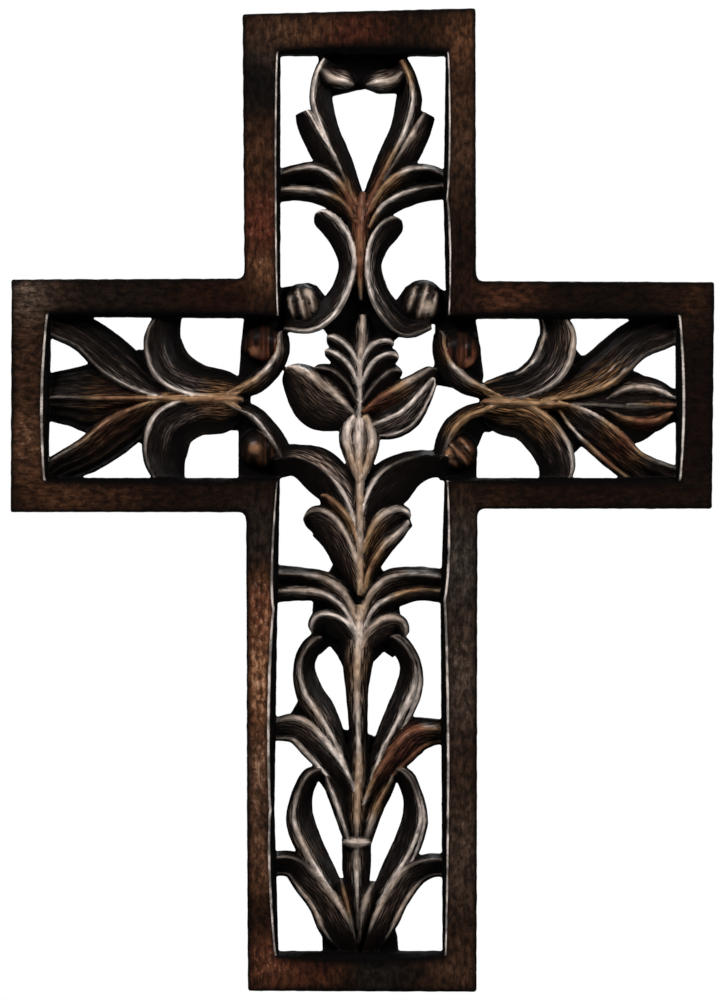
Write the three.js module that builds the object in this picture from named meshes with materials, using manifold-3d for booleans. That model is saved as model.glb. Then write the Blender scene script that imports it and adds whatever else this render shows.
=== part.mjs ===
// Carved wooden wall cross: one pierced board, with plain raised bars round its outline and acanthus
// foliage between them. Millimetres, +Z up, +X to the right as seen from the front. The flat back lies
// in the plane y = 0 and the carving faces -Y. The origin is the hanging point on the top bar's back.
import * as THREE from 'three';
import { mergeVertices } from 'three/addons/utils/BufferGeometryUtils.js';
import Module from 'manifold-3d';

const wasm = await Module();
wasm.setup();

// Driving dimensions, in millimetres.
const HEIGHT = 406;
const THICKNESS = 18;
const BAR_CHAMFER = 2;
const CORNER_RADIUS = 0.7;
const FILLET_RADIUS = 3.4;

// A leaf's ridge stands at CREST half way along and sinks towards both ends. Its edges stand at LEAF_EDGE
// of the ridge's height.
const CREST = 16.4;
const RAISED = 0.8;
const CREST_DROP = 3.2;
const DROP_PHASE = 0.12;
const LEAF_EDGE = 0.64;
const THINNEST_LEAF = 0.4;
const LEAF_STEP = 5.2;
const FEWEST_STEPS = 3;

// The ground between the leaves, and a scroll ball's top, with its profile from the rim to the top as
// [share of the radius out from the axis, share of the radius below the top].
const GROUND = 8;
const BALL_TOP = CREST - 1;
const BALL_PROFILE = [[1, 0.9], [0.9, 0.42], [0.55, 0.1], [0, 0]];
const BALL_SIDES = 14;

// Every blade starts this far behind the back, and is cut off flat there at the end.
const BEHIND = 2;
const ARC_SEGMENTS = 3;
const FINEST_EDGE = 0.02;

// The carver's paper pattern is squared up with 983 rows in the height of the cross.
// A place on it is [column, row], and a leaf point is [column, row, half width], all in squares.
const PATTERN_ROWS = 983;
const SQUARE = HEIGHT / PATTERN_ROWS;
const AXIS_COLUMN = 361;
const HANGING_ROW = 31;

const OUTLINE = [
  [242.5, 14], [475.5, 8], [476, 281], [714.5, 282], [712, 508.5], [477.5, 508.5],
  [476.5, 992], [248, 991], [246, 512], [10.5, 512], [11.5, 279.5], [244.5, 278.5],
];
const OPENING = [
  [280, 54], [446, 54.5], [444, 200], [447, 318], [677, 318], [677, 478], [445, 478], [441, 600],
  [443, 953], [278, 953], [274, 810], [277, 610], [279.5, 478], [47, 478], [50, 316], [280, 318],
];

// Every leaf blade: its spine from root to tip, and where its ridge lies, from -1 at the edge on the left
// hand of a walk from root to tip, to 1 at the edge on the right hand. A high leaf is raised over the rest.
const LEAVES = {
  // Upper arm: the lyre under the top bar, with its rolled tips.
  lyreLeft: {
    lean: -0.7,
    spine: [
      [360, 203, 6], [343, 160, 9], [330, 130, 9.5],
      [321, 100, 11.5], [323, 76, 10.5], [330, 60, 10],
    ],
  },
  lyreRight: {
    lean: 0.3,
    spine: [
      [366, 205, 6], [378, 178, 8.5], [389, 155, 10.5], [402, 128, 11.5],
      [409, 100, 13], [407, 78, 10], [399, 60, 9],
    ],
  },
  rolledTipLeft: { lean: 0.2, spine: [[320, 66, 5], [332, 78, 13], [344, 81, 11], [356, 85, 5]] },
  rolledTipRight: { lean: -0.2, spine: [[404, 70, 6], [391, 81, 13], [377, 81, 11], [364, 84, 5]] },
  spurLeft: {
    lean: 0.75,
    spine: [[343, 182, 5], [326, 157, 12], [313, 135, 11], [304, 118, 9.5], [293, 108, 2]],
  },
  spurRight: {
    lean: -0.4,
    spine: [[384, 182, 5], [402, 160, 13], [415, 138, 12.5], [424, 121, 10], [437, 111, 2]],
  },
  armLeft: {
    lean: 0.4,
    spine: [[354, 212, 5], [337, 185, 9.5], [317, 172, 11], [299, 172, 9], [276, 178, 9]],
  },
  armLeftLower: {
    lean: 0.4,
    spine: [[356, 224, 5], [341, 205, 9], [321, 195, 9], [300, 192, 7.5], [276, 192, 9]],
  },
  armRight: {
    lean: -0.4,
    spine: [[368, 216, 5], [384, 191, 9], [405, 175, 10], [425, 171, 8], [449, 180, 9]],
  },
  armRightLower: {
    lean: -0.4,
    spine: [[370, 228, 5], [384, 209, 9], [401, 198, 10], [420, 192, 9.5], [449, 188, 9]],
  },
  // Upper arm: the pair of scrolls back to back, and the stem between them.
  scrollLeft: {
    lean: -0.8,
    spine: [
      [315, 213, 9], [329, 223, 11], [342, 240, 11.5], [348, 263, 9.5],
      [342, 287, 9.5], [328, 309, 11], [310, 322, 10.5], [284, 321, 9.5],
    ],
  },
  scrollRight: {
    lean: 0.8,
    spine: [
      [402, 220, 8], [389, 229, 12], [378, 244, 11], [373, 264, 8.5],
      [377, 288, 10], [389, 310, 12], [406, 325, 12.5], [430, 320, 9],
    ],
  },
  upperStem: {
    lean: 0,
    spine: [[363, 194, 5], [361, 215, 11], [360, 238, 8], [360, 262, 6], [361, 290, 7], [362, 312, 5]],
  },
  // Crossing: the feathered leaf, the two oval leaves and the calyx.
  featherRib: {
    lean: 0,
    spine: [[359, 418, 4], [360, 392, 8], [360, 366, 9], [362, 340, 9], [363, 314, 4]],
  },
  featherLeftTop: { lean: 0.3, spine: [[358, 368, 4], [349, 352, 9], [338, 342, 9], [327, 336, 7]] },
  featherLeftMiddle: { lean: 0.3, spine: [[358, 388, 4], [348, 368, 9], [337, 357, 8], [325, 350, 4]] },
  featherLeftLow: { lean: 0.3, spine: [[357, 404, 4], [345, 385, 9], [331, 373, 9], [314, 368, 4]] },
  featherRightTop: { lean: -0.3, spine: [[361, 368, 4], [371, 350, 10], [382, 343, 9], [394, 343, 7]] },
  featherRightMiddle: {
    lean: -0.3,
    spine: [[361, 388, 4], [374, 366, 11], [386, 357, 10], [399, 357, 7]],
  },
  featherRightLow: { lean: -0.3, spine: [[361, 406, 4], [376, 388, 11], [391, 374, 10], [402, 371, 6]] },
  ovalLeft: {
    lean: 0.4,
    spine: [[356, 420, 7], [340, 413, 20], [321, 402, 28], [300, 381, 20], [286, 367, 8]],
  },
  ovalRightUpper: {
    lean: -0.6,
    spine: [[363, 414, 5], [383, 405, 14], [402, 395, 15], [420, 383, 12], [437, 369, 8]],
  },
  ovalRightLower: {
    lean: -0.2,
    spine: [[366, 428, 8], [386, 423, 17], [404, 414, 18], [419, 398, 13], [434, 378, 5]],
  },
  calyxLeft: { lean: -0.3, spine: [[360, 482, 4], [352, 456, 10], [350, 436, 9.5], [357, 414, 5]] },
  calyxRight: { lean: 0.3, spine: [[360, 482, 4], [367, 456, 9], [369, 437, 9], [361, 414, 5]] },
  calyxRib: { lean: 0, spine: [[360, 490, 3], [359, 460, 7], [358, 424, 6]] },
  // Left arm: two scroll leaves, the rings round the scroll balls and the fan at the end.
  leftScrollUpper: {
    lean: 0.85,
    spine: [
      [169, 313, 12], [162, 340, 19], [171, 366, 21],
      [197, 381, 18], [224, 384, 14], [246, 385, 11],
    ],
  },
  leftScrollLower: {
    lean: -0.85,
    spine: [
      [170, 482, 14], [164, 455, 22], [171, 428, 24],
      [196, 415, 21], [222, 415, 18], [244, 415, 14],
    ],
  },
  leftRingUpper: {
    lean: -0.5,
    spine: [[236, 391, 7], [254, 385, 9], [271, 370, 9], [281, 352, 8], [282, 330, 6]],
  },
  leftRingLower: {
    lean: 0.4,
    spine: [[236, 406, 7], [253, 413, 8], [268, 429, 9], [280, 446, 10], [288, 464, 10]],
  },
  leftFanUpper: {
    lean: -0.8,
    spine: [[170, 397, 3], [142, 380, 15], [113, 358, 21], [84, 334, 18], [57, 322, 17], [38, 314, 14]],
  },
  leftFanMiddle: {
    lean: 0,
    spine: [[165, 398, 2], [134, 398, 11], [108, 398, 23], [90, 398, 34], [70, 397, 29], [40, 397, 22]],
  },
  leftFanLower: {
    lean: 0.8,
    spine: [[170, 400, 3], [146, 414, 14], [117, 433, 20], [88, 454, 18], [58, 469, 15], [38, 480, 14]],
  },
  // Right arm, the same parts from the other hand.
  rightScrollUpper: {
    lean: -0.85,
    spine: [
      [550, 313, 11], [558, 336, 19], [549, 365, 20],
      [527, 382, 16], [505, 387, 13], [480, 388, 11],
    ],
  },
  rightScrollLower: {
    lean: 0.85,
    spine: [
      [555, 484, 15], [557, 461, 19], [544, 437, 20],
      [525, 421, 19], [502, 417, 17], [478, 417, 13],
    ],
  },
  rightRingUpper: {
    lean: 0.6,
    spine: [[488, 393, 7], [467, 385, 9], [450, 371, 10], [441, 352, 8], [440, 330, 6]],
  },
  rightRingLower: {
    lean: -0.4,
    spine: [[488, 406, 7], [467, 414, 8], [451, 428, 9], [442, 446, 9], [436, 464, 9]],
  },
  rightFanUpper: {
    lean: 0.85,
    spine: [
      [540, 398, 3], [572, 385, 15], [603, 368, 21],
      [636, 340, 20], [662, 329, 20], [688, 322, 16],
    ],
  },
  rightFanMiddle: {
    lean: 0,
    spine: [
      [568, 404, 3], [605, 405, 20], [634, 407, 36],
      [656, 406, 25], [674, 405, 17], [692, 405, 14],
    ],
  },
  rightFanLower: {
    lean: -0.85,
    spine: [
      [556, 402, 3], [581, 421, 15], [606, 441, 19],
      [634, 466, 17], [660, 479, 18], [686, 484, 16],
    ],
  },
  rightPetalUpper: {
    lean: 0,
    high: true,
    spine: [[600, 399, 3], [630, 390, 9], [654, 391, 10], [671, 398, 6]],
  },
  rightPetalMiddle: {
    lean: 0,
    high: true,
    spine: [[600, 404, 3], [633, 404, 8], [660, 405, 9], [682, 405, 7]],
  },
  rightPetalLower: {
    lean: 0,
    high: true,
    spine: [[600, 409, 3], [630, 417, 9], [654, 420, 10], [671, 412, 6]],
  },
  // Lower shaft, from the crossing down: first the leaves that rise to the corners of the crossing.
  risingLeft: {
    lean: 0.15,
    spine: [
      [358, 542, 3], [350, 512, 10], [337, 489, 20],
      [317, 469, 22], [295, 460, 16], [274, 462, 17],
    ],
  },
  risingRight: {
    lean: -0.6,
    spine: [
      [361, 540, 3], [371, 508, 13], [389, 485, 24],
      [409, 470, 19], [430, 464, 14], [450, 465, 13],
    ],
  },
  risingFluteLeft: {
    lean: 0.3,
    high: true,
    spine: [[358, 550, 3], [350, 524, 7], [336, 507, 9], [321, 495, 7]],
  },
  curledLeft: {
    lean: 0.7,
    spine: [[358, 592, 5], [349, 566, 13], [336, 538, 16], [320, 521, 16], [303, 519, 8]],
  },
  curledRightUpper: {
    lean: -0.5,
    spine: [[362, 565, 3], [372, 540, 11], [386, 520, 15], [398, 512, 12], [409, 524, 6]],
  },
  curledRightLower: {
    lean: 0.2,
    spine: [[362, 592, 5], [369, 566, 11], [382, 544, 12], [399, 532, 8], [414, 528, 2]],
  },
  middleStem: {
    lean: 0,
    high: true,
    spine: [[360, 472, 4], [360, 500, 6], [360, 535, 9], [360, 562, 7], [360, 596, 3]],
  },
  // Lower shaft: arms to the bars, drooping leaves and the first lyre.
  reachLeftUpper: {
    lean: 0.3,
    spine: [[356, 624, 4], [345, 600, 9], [327, 584, 11], [304, 578, 10], [273, 577, 12]],
  },
  reachLeftLower: {
    lean: 0.2,
    spine: [[355, 630, 4], [340, 607, 9], [321, 595, 8], [300, 593, 8], [273, 593, 10]],
  },
  reachRightUpper: {
    lean: -0.4,
    spine: [[363, 622, 4], [372, 599, 10], [390, 583, 13], [415, 580, 13], [449, 583, 13]],
  },
  reachRightLower: {
    lean: -0.2,
    spine: [[364, 630, 4], [376, 609, 9], [395, 598, 10], [418, 592, 9], [449, 594, 10]],
  },
  droopLeft: {
    lean: 0.6,
    spine: [[357, 656, 6], [347, 634, 12], [333, 623, 13], [320, 622, 11], [313, 634, 7]],
  },
  droopRight: {
    lean: -0.6,
    spine: [[363, 656, 6], [374, 635, 12], [388, 626, 14], [399, 626, 10], [404, 638, 6]],
  },
  lowerStem: {
    lean: 0,
    spine: [
      [360, 605, 6], [359, 632, 14], [358, 655, 16], [357, 690, 11.5],
      [358, 722, 9.5], [359, 760, 9], [359, 800, 8],
    ],
  },
  firstLyreLeft: {
    lean: -0.6,
    spine: [
      [330, 632, 9], [314, 645, 10], [304, 665, 10.5], [308, 690, 13.5],
      [321, 714, 15], [338, 748, 10], [353, 790, 5],
    ],
  },
  firstLyreRight: {
    lean: 0.6,
    spine: [
      [386, 634, 12], [402, 648, 10], [411, 667, 11], [409, 690, 13.5],
      [399, 714, 13.5], [384, 747, 11], [367, 790, 5],
    ],
  },
  // Lower shaft: arms again, the sheath, its collar and the second lyre.
  sweepLeft: {
    lean: 0.75,
    spine: [
      [356, 806, 5], [344, 784, 11], [330, 764, 14],
      [314, 745, 15.5], [297, 730, 15], [272, 730, 11],
    ],
  },
  sweepRight: {
    lean: -0.3,
    spine: [
      [364, 806, 5], [376, 783, 11], [392, 759, 17],
      [413, 736, 21], [431, 733, 12], [450, 733, 11],
    ],
  },
  sheathLeft: { lean: -0.4, spine: [[351, 834, 9], [341, 806, 10], [330, 784, 9], [320, 766, 5]] },
  sheathRight: { lean: 0.2, spine: [[364, 834, 8], [375, 806, 10], [387, 784, 10], [396, 768, 8]] },
  sheathRib: {
    lean: 0,
    high: true,
    spine: [[357, 838, 9], [357, 812, 12], [358, 782, 9], [359, 756, 4]],
  },
  collar: { lean: 0, high: true, spine: [[341, 843, 5], [349, 843, 6], [364, 843, 6], [372, 843, 5]] },
  footStem: { lean: 0, spine: [[358, 930, 5], [357, 892, 11], [356.5, 870, 14], [356.5, 842, 14.5]] },
  secondLyreLeft: {
    lean: -0.6,
    spine: [
      [330, 767, 9], [311, 776, 10], [302, 796, 10.5], [300, 821, 14],
      [309, 847, 14], [326, 880, 12.5], [342, 912, 9], [355, 945, 5],
    ],
  },
  secondLyreRight: {
    lean: 0.6,
    spine: [
      [390, 768, 10], [404, 775, 10], [413, 797, 10], [415, 821, 13],
      [407, 847, 14], [393, 875, 13], [378, 907, 10], [364, 945, 5],
    ],
  },
  flameLeft: { lean: 0, high: true, spine: [[356, 945, 4], [350, 917, 8], [345, 896, 8], [341, 880, 3]] },
  flameRight: {
    lean: 0,
    high: true,
    spine: [[359, 945, 4], [362, 917, 9], [367, 897, 9], [374, 883, 3]],
  },
  footLeft: {
    lean: 0.6,
    spine: [
      [355, 962, 8], [338, 926, 20], [324, 901, 17.5],
      [308, 881, 16.5], [292, 866, 13], [272, 865, 12],
    ],
  },
  footRight: {
    lean: -0.6,
    spine: [
      [365, 962, 8], [381, 926, 15], [394, 899, 15.5],
      [411, 876, 15], [430, 867, 12], [450, 867, 11],
    ],
  },
};

// The scroll balls, as [column, row, radius].
const BALLS = [
  [301, 303, 20], [423, 301, 22], [262, 343, 21], [460, 350, 21], [259, 449, 21], [458, 452, 20],
];

// Low ground left between the leaves, as plain polygons.
const GROUNDS = {
  underTopBar: [[317, 46], [405, 46], [400, 92], [378, 92], [365, 87], [350, 90], [330, 95], [320, 70]],
  armRootLeft: [[276, 172], [330, 178], [345, 195], [330, 200], [276, 196]],
  armRootRight: [[395, 180], [449, 178], [449, 194], [400, 200]],
  behindScrolls: [[345, 205], [380, 205], [371, 262], [350, 262]],
  underScrolls: [[338, 290], [386, 290], [404, 332], [388, 345], [330, 338], [322, 326]],
  upperBallLeft: [[276, 288], [308, 282], [317, 285], [328, 300], [328, 328], [276, 324]],
  upperBallRight: [
    [450, 291], [444, 290], [430, 281], [418, 280], [406, 286], [397, 299], [392, 326], [450, 322],
  ],
  cornerUpperLeft: [[244.5, 312], [286, 312], [286, 345], [276, 366], [252, 384], [241, 372], [241, 340]],
  cornerUpperRight: [[436, 312], [475, 314], [481, 350], [475, 374], [468, 390], [434, 384]],
  cornerLowerLeft: [[238, 432], [262, 424], [286, 448], [286, 476], [238, 484]],
  cornerLowerRight: [[435, 452], [452, 428], [484, 432], [477, 448], [477, 484], [440, 480]],
  leftArm: [
    [95, 372], [136, 340], [150, 345], [172, 384], [250, 388], [250, 430], [230, 430], [172, 414],
    [145, 446], [135, 440], [100, 430],
  ],
  rightArm: [
    [480, 388], [535, 390], [574, 345], [582, 355], [594, 354], [634, 370], [634, 445], [594, 454],
    [582, 446], [576, 452], [566, 428], [535, 408], [490, 432], [474, 430], [480, 412],
  ],
  middleShaft: [
    [336, 560], [377, 560], [402, 600], [405, 642], [397, 668], [384, 652], [374, 662], [345, 672],
    [338, 657], [330, 646], [320, 655], [311, 642], [313, 600],
  ],
  lowerShaft: [
    [340, 730], [372, 736], [405, 765], [392, 786], [376, 830], [342, 830], [326, 792], [310, 770],
  ],
  lyreRoots: [[299, 700], [306, 700], [320, 740], [286, 722]],
  foot: [[330, 925], [393, 925], [397.5, 938], [399, 960], [323, 960], [322, 938]],
};

function place(column, row) {
  return new THREE.Vector2((column - AXIS_COLUMN) * SQUARE, (HANGING_ROW - row) * SQUARE);
}

// A closed three.js geometry as a solid that can be joined and cut.
function solidFrom(geometry) {
  geometry.deleteAttribute('normal');
  geometry.deleteAttribute('uv');
  const merged = mergeVertices(geometry);
  return new wasm.Manifold(new wasm.Mesh({
    numProp: 3,
    vertProperties: merged.getAttribute('position').array,
    triVerts: new Uint32Array(merged.getIndex().array),
    tolerance: FINEST_EDGE,
  }));
}

function geometryFrom(solid) {
  const mesh = solid.getMesh();
  const geometry = new THREE.BufferGeometry();
  geometry.setAttribute('position', new THREE.BufferAttribute(mesh.vertProperties, 3));
  geometry.setIndex(new THREE.BufferAttribute(mesh.triVerts, 1));
  geometry.computeVertexNormals();
  return geometry;
}

// A closed outline, drawn clockwise, with its outer corners and its inner corners rounded.
function outlineShape(pattern, outerRadius = 0, innerRadius = 0) {
  const corners = pattern.map(([column, row]) => place(column, row));
  const shape = new THREE.Shape();
  corners.forEach((corner, i) => {
    const before = corners.at(i - 1).clone().sub(corner);
    const after = corners[(i + 1) % corners.length].clone().sub(corner);
    const radius = before.cross(after) > 0 ? outerRadius : innerRadius;
    const start = corner.clone().add(before.setLength(radius));
    const end = corner.clone().add(after.setLength(radius));
    if (i === 0) shape.moveTo(start.x, start.y);
    else shape.lineTo(start.x, start.y);
    if (radius > 0) shape.quadraticCurveTo(corner.x, corner.y, end.x, end.y);
  });
  shape.closePath();
  return shape;
}

// A flat shape drawn in x and z, carried forward from the plane y = back by the given depth.
function forward(shape, back, depth, options = {}) {
  const plain = { depth, bevelEnabled: false, curveSegments: ARC_SEGMENTS };
  const geometry = new THREE.ExtrudeGeometry(shape, { ...plain, ...options });
  geometry.rotateX(Math.PI / 2);
  geometry.translate(0, back, 0);
  return solidFrom(geometry);
}

// The bars: the board's outline less the opening, whose front edge is chamfered.
function bars() {
  const opening = outlineShape(OPENING);
  const cut = forward(opening, BEHIND, THICKNESS + 2 * BEHIND);
  const chamfer = forward(opening, BAR_CHAMFER - THICKNESS, THICKNESS, {
    bevelEnabled: true, bevelThickness: BAR_CHAMFER, bevelSize: BAR_CHAMFER, bevelSegments: 1,
  });
  const board = forward(outlineShape(OUTLINE, CORNER_RADIUS, FILLET_RADIUS), 0, THICKNESS);
  return board.subtract(cut).subtract(chamfer);
}

// One leaf blade: upright walls down to the back, and two slopes that meet in a ridge.
// The curve carries the half width as its middle coordinate.
function leaf({ spine, lean, high = false }) {
  const curve = new THREE.CatmullRomCurve3(spine.map(([column, row, half]) => {
    const point = place(column, row);
    return new THREE.Vector3(point.x, half * SQUARE, point.y);
  }), false, 'centripetal');
  const steps = Math.max(FEWEST_STEPS, Math.round(curve.getLength() / LEAF_STEP));
  const top = high ? CREST + RAISED : CREST;
  const positions = [];
  const index = [];
  for (let i = 0; i <= steps; i += 1) {
    const t = i / steps;
    const point = curve.getPointAt(t);
    const tangent = curve.getTangentAt(t).setY(0).normalize();
    const half = Math.max(point.y, THINNEST_LEAF);
    const rise = Math.sin(Math.PI * (DROP_PHASE + (1 - 2 * DROP_PHASE) * t));
    const crest = top - CREST_DROP * (1 - rise);
    const edge = crest * LEAF_EDGE;
    const section = [[-1, -BEHIND], [-1, edge], [lean, crest], [1, edge], [1, -BEHIND]];
    for (const [across, height] of section) {
      positions.push(point.x + tangent.z * half * across, -height, point.z - tangent.x * half * across);
    }
  }
  const corners = 5;
  for (let i = 0; i < steps; i += 1) {
    for (let k = 0; k < corners; k += 1) {
      const a = i * corners + k;
      const b = i * corners + (k + 1) % corners;
      index.push(a, b, a + corners, b, b + corners, a + corners);
    }
  }
  for (let k = 1; k < corners - 1; k += 1) {
    index.push(0, k + 1, k);
    index.push(steps * corners, steps * corners + k, steps * corners + k + 1);
  }
  const geometry = new THREE.BufferGeometry();
  geometry.setAttribute('position', new THREE.Float32BufferAttribute(positions, 3));
  geometry.setIndex(index);
  return solidFrom(geometry);
}

// A scroll ball: a round post with a domed front.
function ball([column, row, radius]) {
  const r = radius * SQUARE;
  const dome = BALL_PROFILE.map(([out, below]) => new THREE.Vector2(r * out, BALL_TOP - r * below));
  const post = [new THREE.Vector2(0, -BEHIND), new THREE.Vector2(r, -BEHIND)];
  const geometry = new THREE.LatheGeometry([...post, ...dome], BALL_SIDES);
  const centre = place(column, row);
  geometry.rotateX(Math.PI);
  geometry.translate(centre.x, 0, centre.y);
  return solidFrom(geometry);
}

function ground(pattern) {
  return forward(outlineShape(pattern), BEHIND, GROUND + BEHIND);
}

function carvedCross() {
  let solid = bars();
  for (const pattern of Object.values(GROUNDS)) solid = solid.add(ground(pattern));
  for (const blade of Object.values(LEAVES)) solid = solid.add(leaf(blade));
  for (const centre of BALLS) solid = solid.add(ball(centre));
  const wall = new THREE.BoxGeometry(2 * HEIGHT, HEIGHT, 3 * HEIGHT);
  wall.translate(0, HEIGHT / 2, 0);
  return solid.subtract(solidFrom(wall));
}

const stainedHardwood = new THREE.MeshStandardMaterial({
  color: 0x2e1a12,
  roughness: 0.45,
  metalness: 0,
});

const cross = new THREE.Mesh(geometryFrom(carvedCross()), stainedHardwood);
cross.name = 'carved_cross';

const group = new THREE.Group();
group.add(cross);

export default group;
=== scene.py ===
# %% [markdown]
# A carved wooden wall cross.
#
# The real object is one hardwood board, pierced and carved from the front with gouges, stained nearly
# black, and then rubbed, so that the stain wears through to bronze and tan on every crest.
# This lesson builds its visible surface round the solid that carries it. The blades of the foliage come
# from one Geometry Nodes tree, the bars from mesh code, and a voxel remesh joins them as one carving.

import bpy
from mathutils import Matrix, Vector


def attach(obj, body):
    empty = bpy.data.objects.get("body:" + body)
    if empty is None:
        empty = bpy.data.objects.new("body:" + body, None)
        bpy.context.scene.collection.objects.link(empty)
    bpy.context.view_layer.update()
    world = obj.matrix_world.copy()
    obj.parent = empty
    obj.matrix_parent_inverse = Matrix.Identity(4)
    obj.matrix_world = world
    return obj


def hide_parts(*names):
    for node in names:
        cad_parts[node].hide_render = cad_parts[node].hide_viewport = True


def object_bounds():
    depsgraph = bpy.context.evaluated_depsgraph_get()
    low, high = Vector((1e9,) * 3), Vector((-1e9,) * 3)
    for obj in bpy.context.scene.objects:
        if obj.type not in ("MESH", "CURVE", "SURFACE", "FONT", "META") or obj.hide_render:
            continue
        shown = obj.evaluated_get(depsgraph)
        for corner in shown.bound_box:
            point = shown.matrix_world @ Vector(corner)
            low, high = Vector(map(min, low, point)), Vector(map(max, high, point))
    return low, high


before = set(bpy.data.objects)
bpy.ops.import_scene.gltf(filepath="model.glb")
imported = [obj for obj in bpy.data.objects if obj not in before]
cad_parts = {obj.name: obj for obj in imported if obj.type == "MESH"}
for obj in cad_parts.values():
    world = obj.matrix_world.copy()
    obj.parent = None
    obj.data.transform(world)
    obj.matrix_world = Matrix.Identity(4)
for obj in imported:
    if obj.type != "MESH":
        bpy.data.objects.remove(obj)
CAD_LOW, CAD_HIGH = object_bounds()
print("nodes of the frame:", sorted(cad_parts))

# %% Tools used all through
import math

import bmesh
import bpy
import numpy as np
from mathutils import Vector

MM = 0.001
scene = bpy.context.scene

# %% [markdown]
# The carver works from a paper pattern, squared up so that the cross is 983 squares high. Every place on
# it is a column and a row, counted from the top left, and one helper turns that into metres. All lies in
# the plane of the board: x runs to the right, z runs up, and y = 0 is the flat back, with the carving
# towards -y. The origin is the hanging point on the back of the top bar.

# %% The squared pattern
HEIGHT = 406 * MM
THICKNESS = 18 * MM
PATTERN_ROWS = 983
SQUARE = HEIGHT / PATTERN_ROWS
AXIS_COLUMN = 361
HANGING_ROW = 31


def place(column, row):
    """A place on the pattern, as x and z in metres."""
    return np.array([(column - AXIS_COLUMN) * SQUARE, (HANGING_ROW - row) * SQUARE])


print("one square is", round(SQUARE / MM, 4), "mm")

# %% [markdown]
# Each blade of the foliage is drawn as a spine from root to tip. A spine point is a column, a row and the
# blade's half width there. The lean says where the ridge lies across the blade: -1 is the edge on the
# left hand of a walk from root to tip, and 1 the edge on the right hand. It may be a list, spread from
# root to tip. A high blade lies over the rest.
# The finish names how far the stain is rubbed away, with one name or more, spread from root to tip.
# Flutes is the number of gouge cuts side by side. Over 1, hollow makes the slopes dish like a gouge cut,
# and under 1 it rounds them, as on a stem. A painted lit side is light painted all over the slope on one
# side of the ridge, where light from above falls, left if it is below 0, and a rim is a second, thin crest
# near one edge, left for -1. Free says which ends are rounded off, because nothing carries on from them.

# %% The blades of the upper arm
LEAVES = {}


def leaf(name, finish, lean, spine, flutes=0, high=False, hollow=1.5, painted_lit_side=0.0, rim=0, free=""):
    """Puts one blade into the pattern."""
    LEAVES[name] = {
        "finish": finish.split(), "lean": np.atleast_1d(lean), "spine": spine, "flutes": flutes,
        "high": high, "hollow": hollow, "painted_lit_side": painted_lit_side, "rim": rim, "free": free,
    }


leaf("lyre_left", "red dark pale pale pale", -0.7,
     [[360, 203, 6], [343, 160, 9], [330, 130, 9.5], [321, 100, 11.5], [323, 76, 10.5], [330, 60, 10]])
leaf("lyre_right", "red bronze pale pale bronze", 0.3,
     [[366, 205, 6], [378, 178, 8.5], [389, 155, 10.5], [402, 128, 11.5], [409, 100, 13], [407, 78, 10],
      [399, 60, 9]])
leaf("rolled_tip_left", "dark rosy cream dark", 0.2,
     [[322, 68, 5], [333, 76, 10], [344, 79, 10], [354, 84, 5]], high=True, hollow=0.5, free="tip")
leaf("rolled_tip_right", "dark rosy cream dark", -0.2,
     [[402, 70, 6], [391, 78, 11], [378, 80, 10], [366, 84, 4]], high=True, hollow=0.5, free="tip")
leaf("spur_left", "dark pale pale pale", 0.75,
     [[343, 182, 5], [326, 157, 12], [313, 135, 11], [305, 118, 9.5], [302, 111, 7]])
leaf("spur_right", "dark dark rosy dark", -0.4,
     [[384, 182, 5], [402, 160, 13], [415, 138, 12.5], [424, 121, 10], [428, 113, 8]])
# The arm blades have painted light on their upward slopes, as a lit side.
leaf("arm_left", "red red pale pale dark dark", 0.4,
     [[354, 212, 5], [337, 185, 9.5], [317, 172, 11], [299, 172, 9], [276, 178, 9]], painted_lit_side=0.5)
leaf("arm_left_lower", "red bronze pale rosy dark", 0.4,
     [[356, 224, 5], [341, 205, 9], [321, 195, 9], [300, 192, 7.5], [276, 192, 9]])
leaf("arm_right", "red gold gold pale dark dark", -0.4,
     [[368, 216, 5], [384, 191, 9], [405, 175, 10], [425, 171, 8], [449, 180, 9]], painted_lit_side=-0.5)
leaf("arm_right_lower", "bronze pale pale dark dark", -0.4,
     [[370, 228, 5], [384, 209, 9], [401, 198, 10], [420, 192, 9.5], [449, 188, 9]])
leaf("scroll_left", "pale broad broad broad pale dark", -0.8,
     [[315, 213, 9], [329, 223, 11], [342, 240, 11.5], [348, 263, 9.5], [342, 287, 9.5], [328, 309, 11],
      [310, 322, 10.5], [284, 321, 9.5]], free="root")
leaf("scroll_right", "dark pale broad pale dark dark", 0.8,
     [[402, 220, 8], [389, 229, 12], [378, 244, 11], [373, 264, 8.5], [377, 288, 10], [389, 310, 12],
      [406, 325, 12.5], [430, 320, 9]], flutes=2, free="root")
leaf("upper_stem", "red red copper red dark", 0,
     [[363, 191, 3], [361, 210, 12], [360, 230, 11.5], [360, 252, 7.5], [360, 276, 5], [361, 300, 3]],
     hollow=0.6, free="root tip")

# %% The blades of the crossing
leaf("feather_rib", "pale pale rosy rosy", 0,
     [[359, 418, 4], [360, 392, 8], [360, 366, 9], [362, 340, 9], [363, 314, 4]])
leaf("feather_left_top", "pale", 0.3,
     [[358, 368, 4], [349, 352, 9], [338, 342, 9], [327, 336, 7]], free="tip")
leaf("feather_left_middle", "pale", 0.3,
     [[358, 388, 4], [348, 368, 9], [337, 357, 8], [325, 350, 4]], free="tip")
leaf("feather_left_low", "dark", 0.3,
     [[357, 404, 4], [345, 385, 9], [331, 373, 9], [314, 368, 4]], free="tip")
leaf("feather_right_top", "pale", -0.3,
     [[361, 368, 4], [371, 350, 10], [382, 343, 9], [394, 343, 7]], free="tip")
leaf("feather_right_middle", "pale", -0.3,
     [[361, 388, 4], [374, 366, 11], [386, 357, 10], [399, 357, 7]], free="tip")
leaf("feather_right_low", "dark", -0.3,
     [[361, 406, 4], [376, 388, 11], [391, 374, 10], [402, 371, 6]], free="tip")
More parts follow.
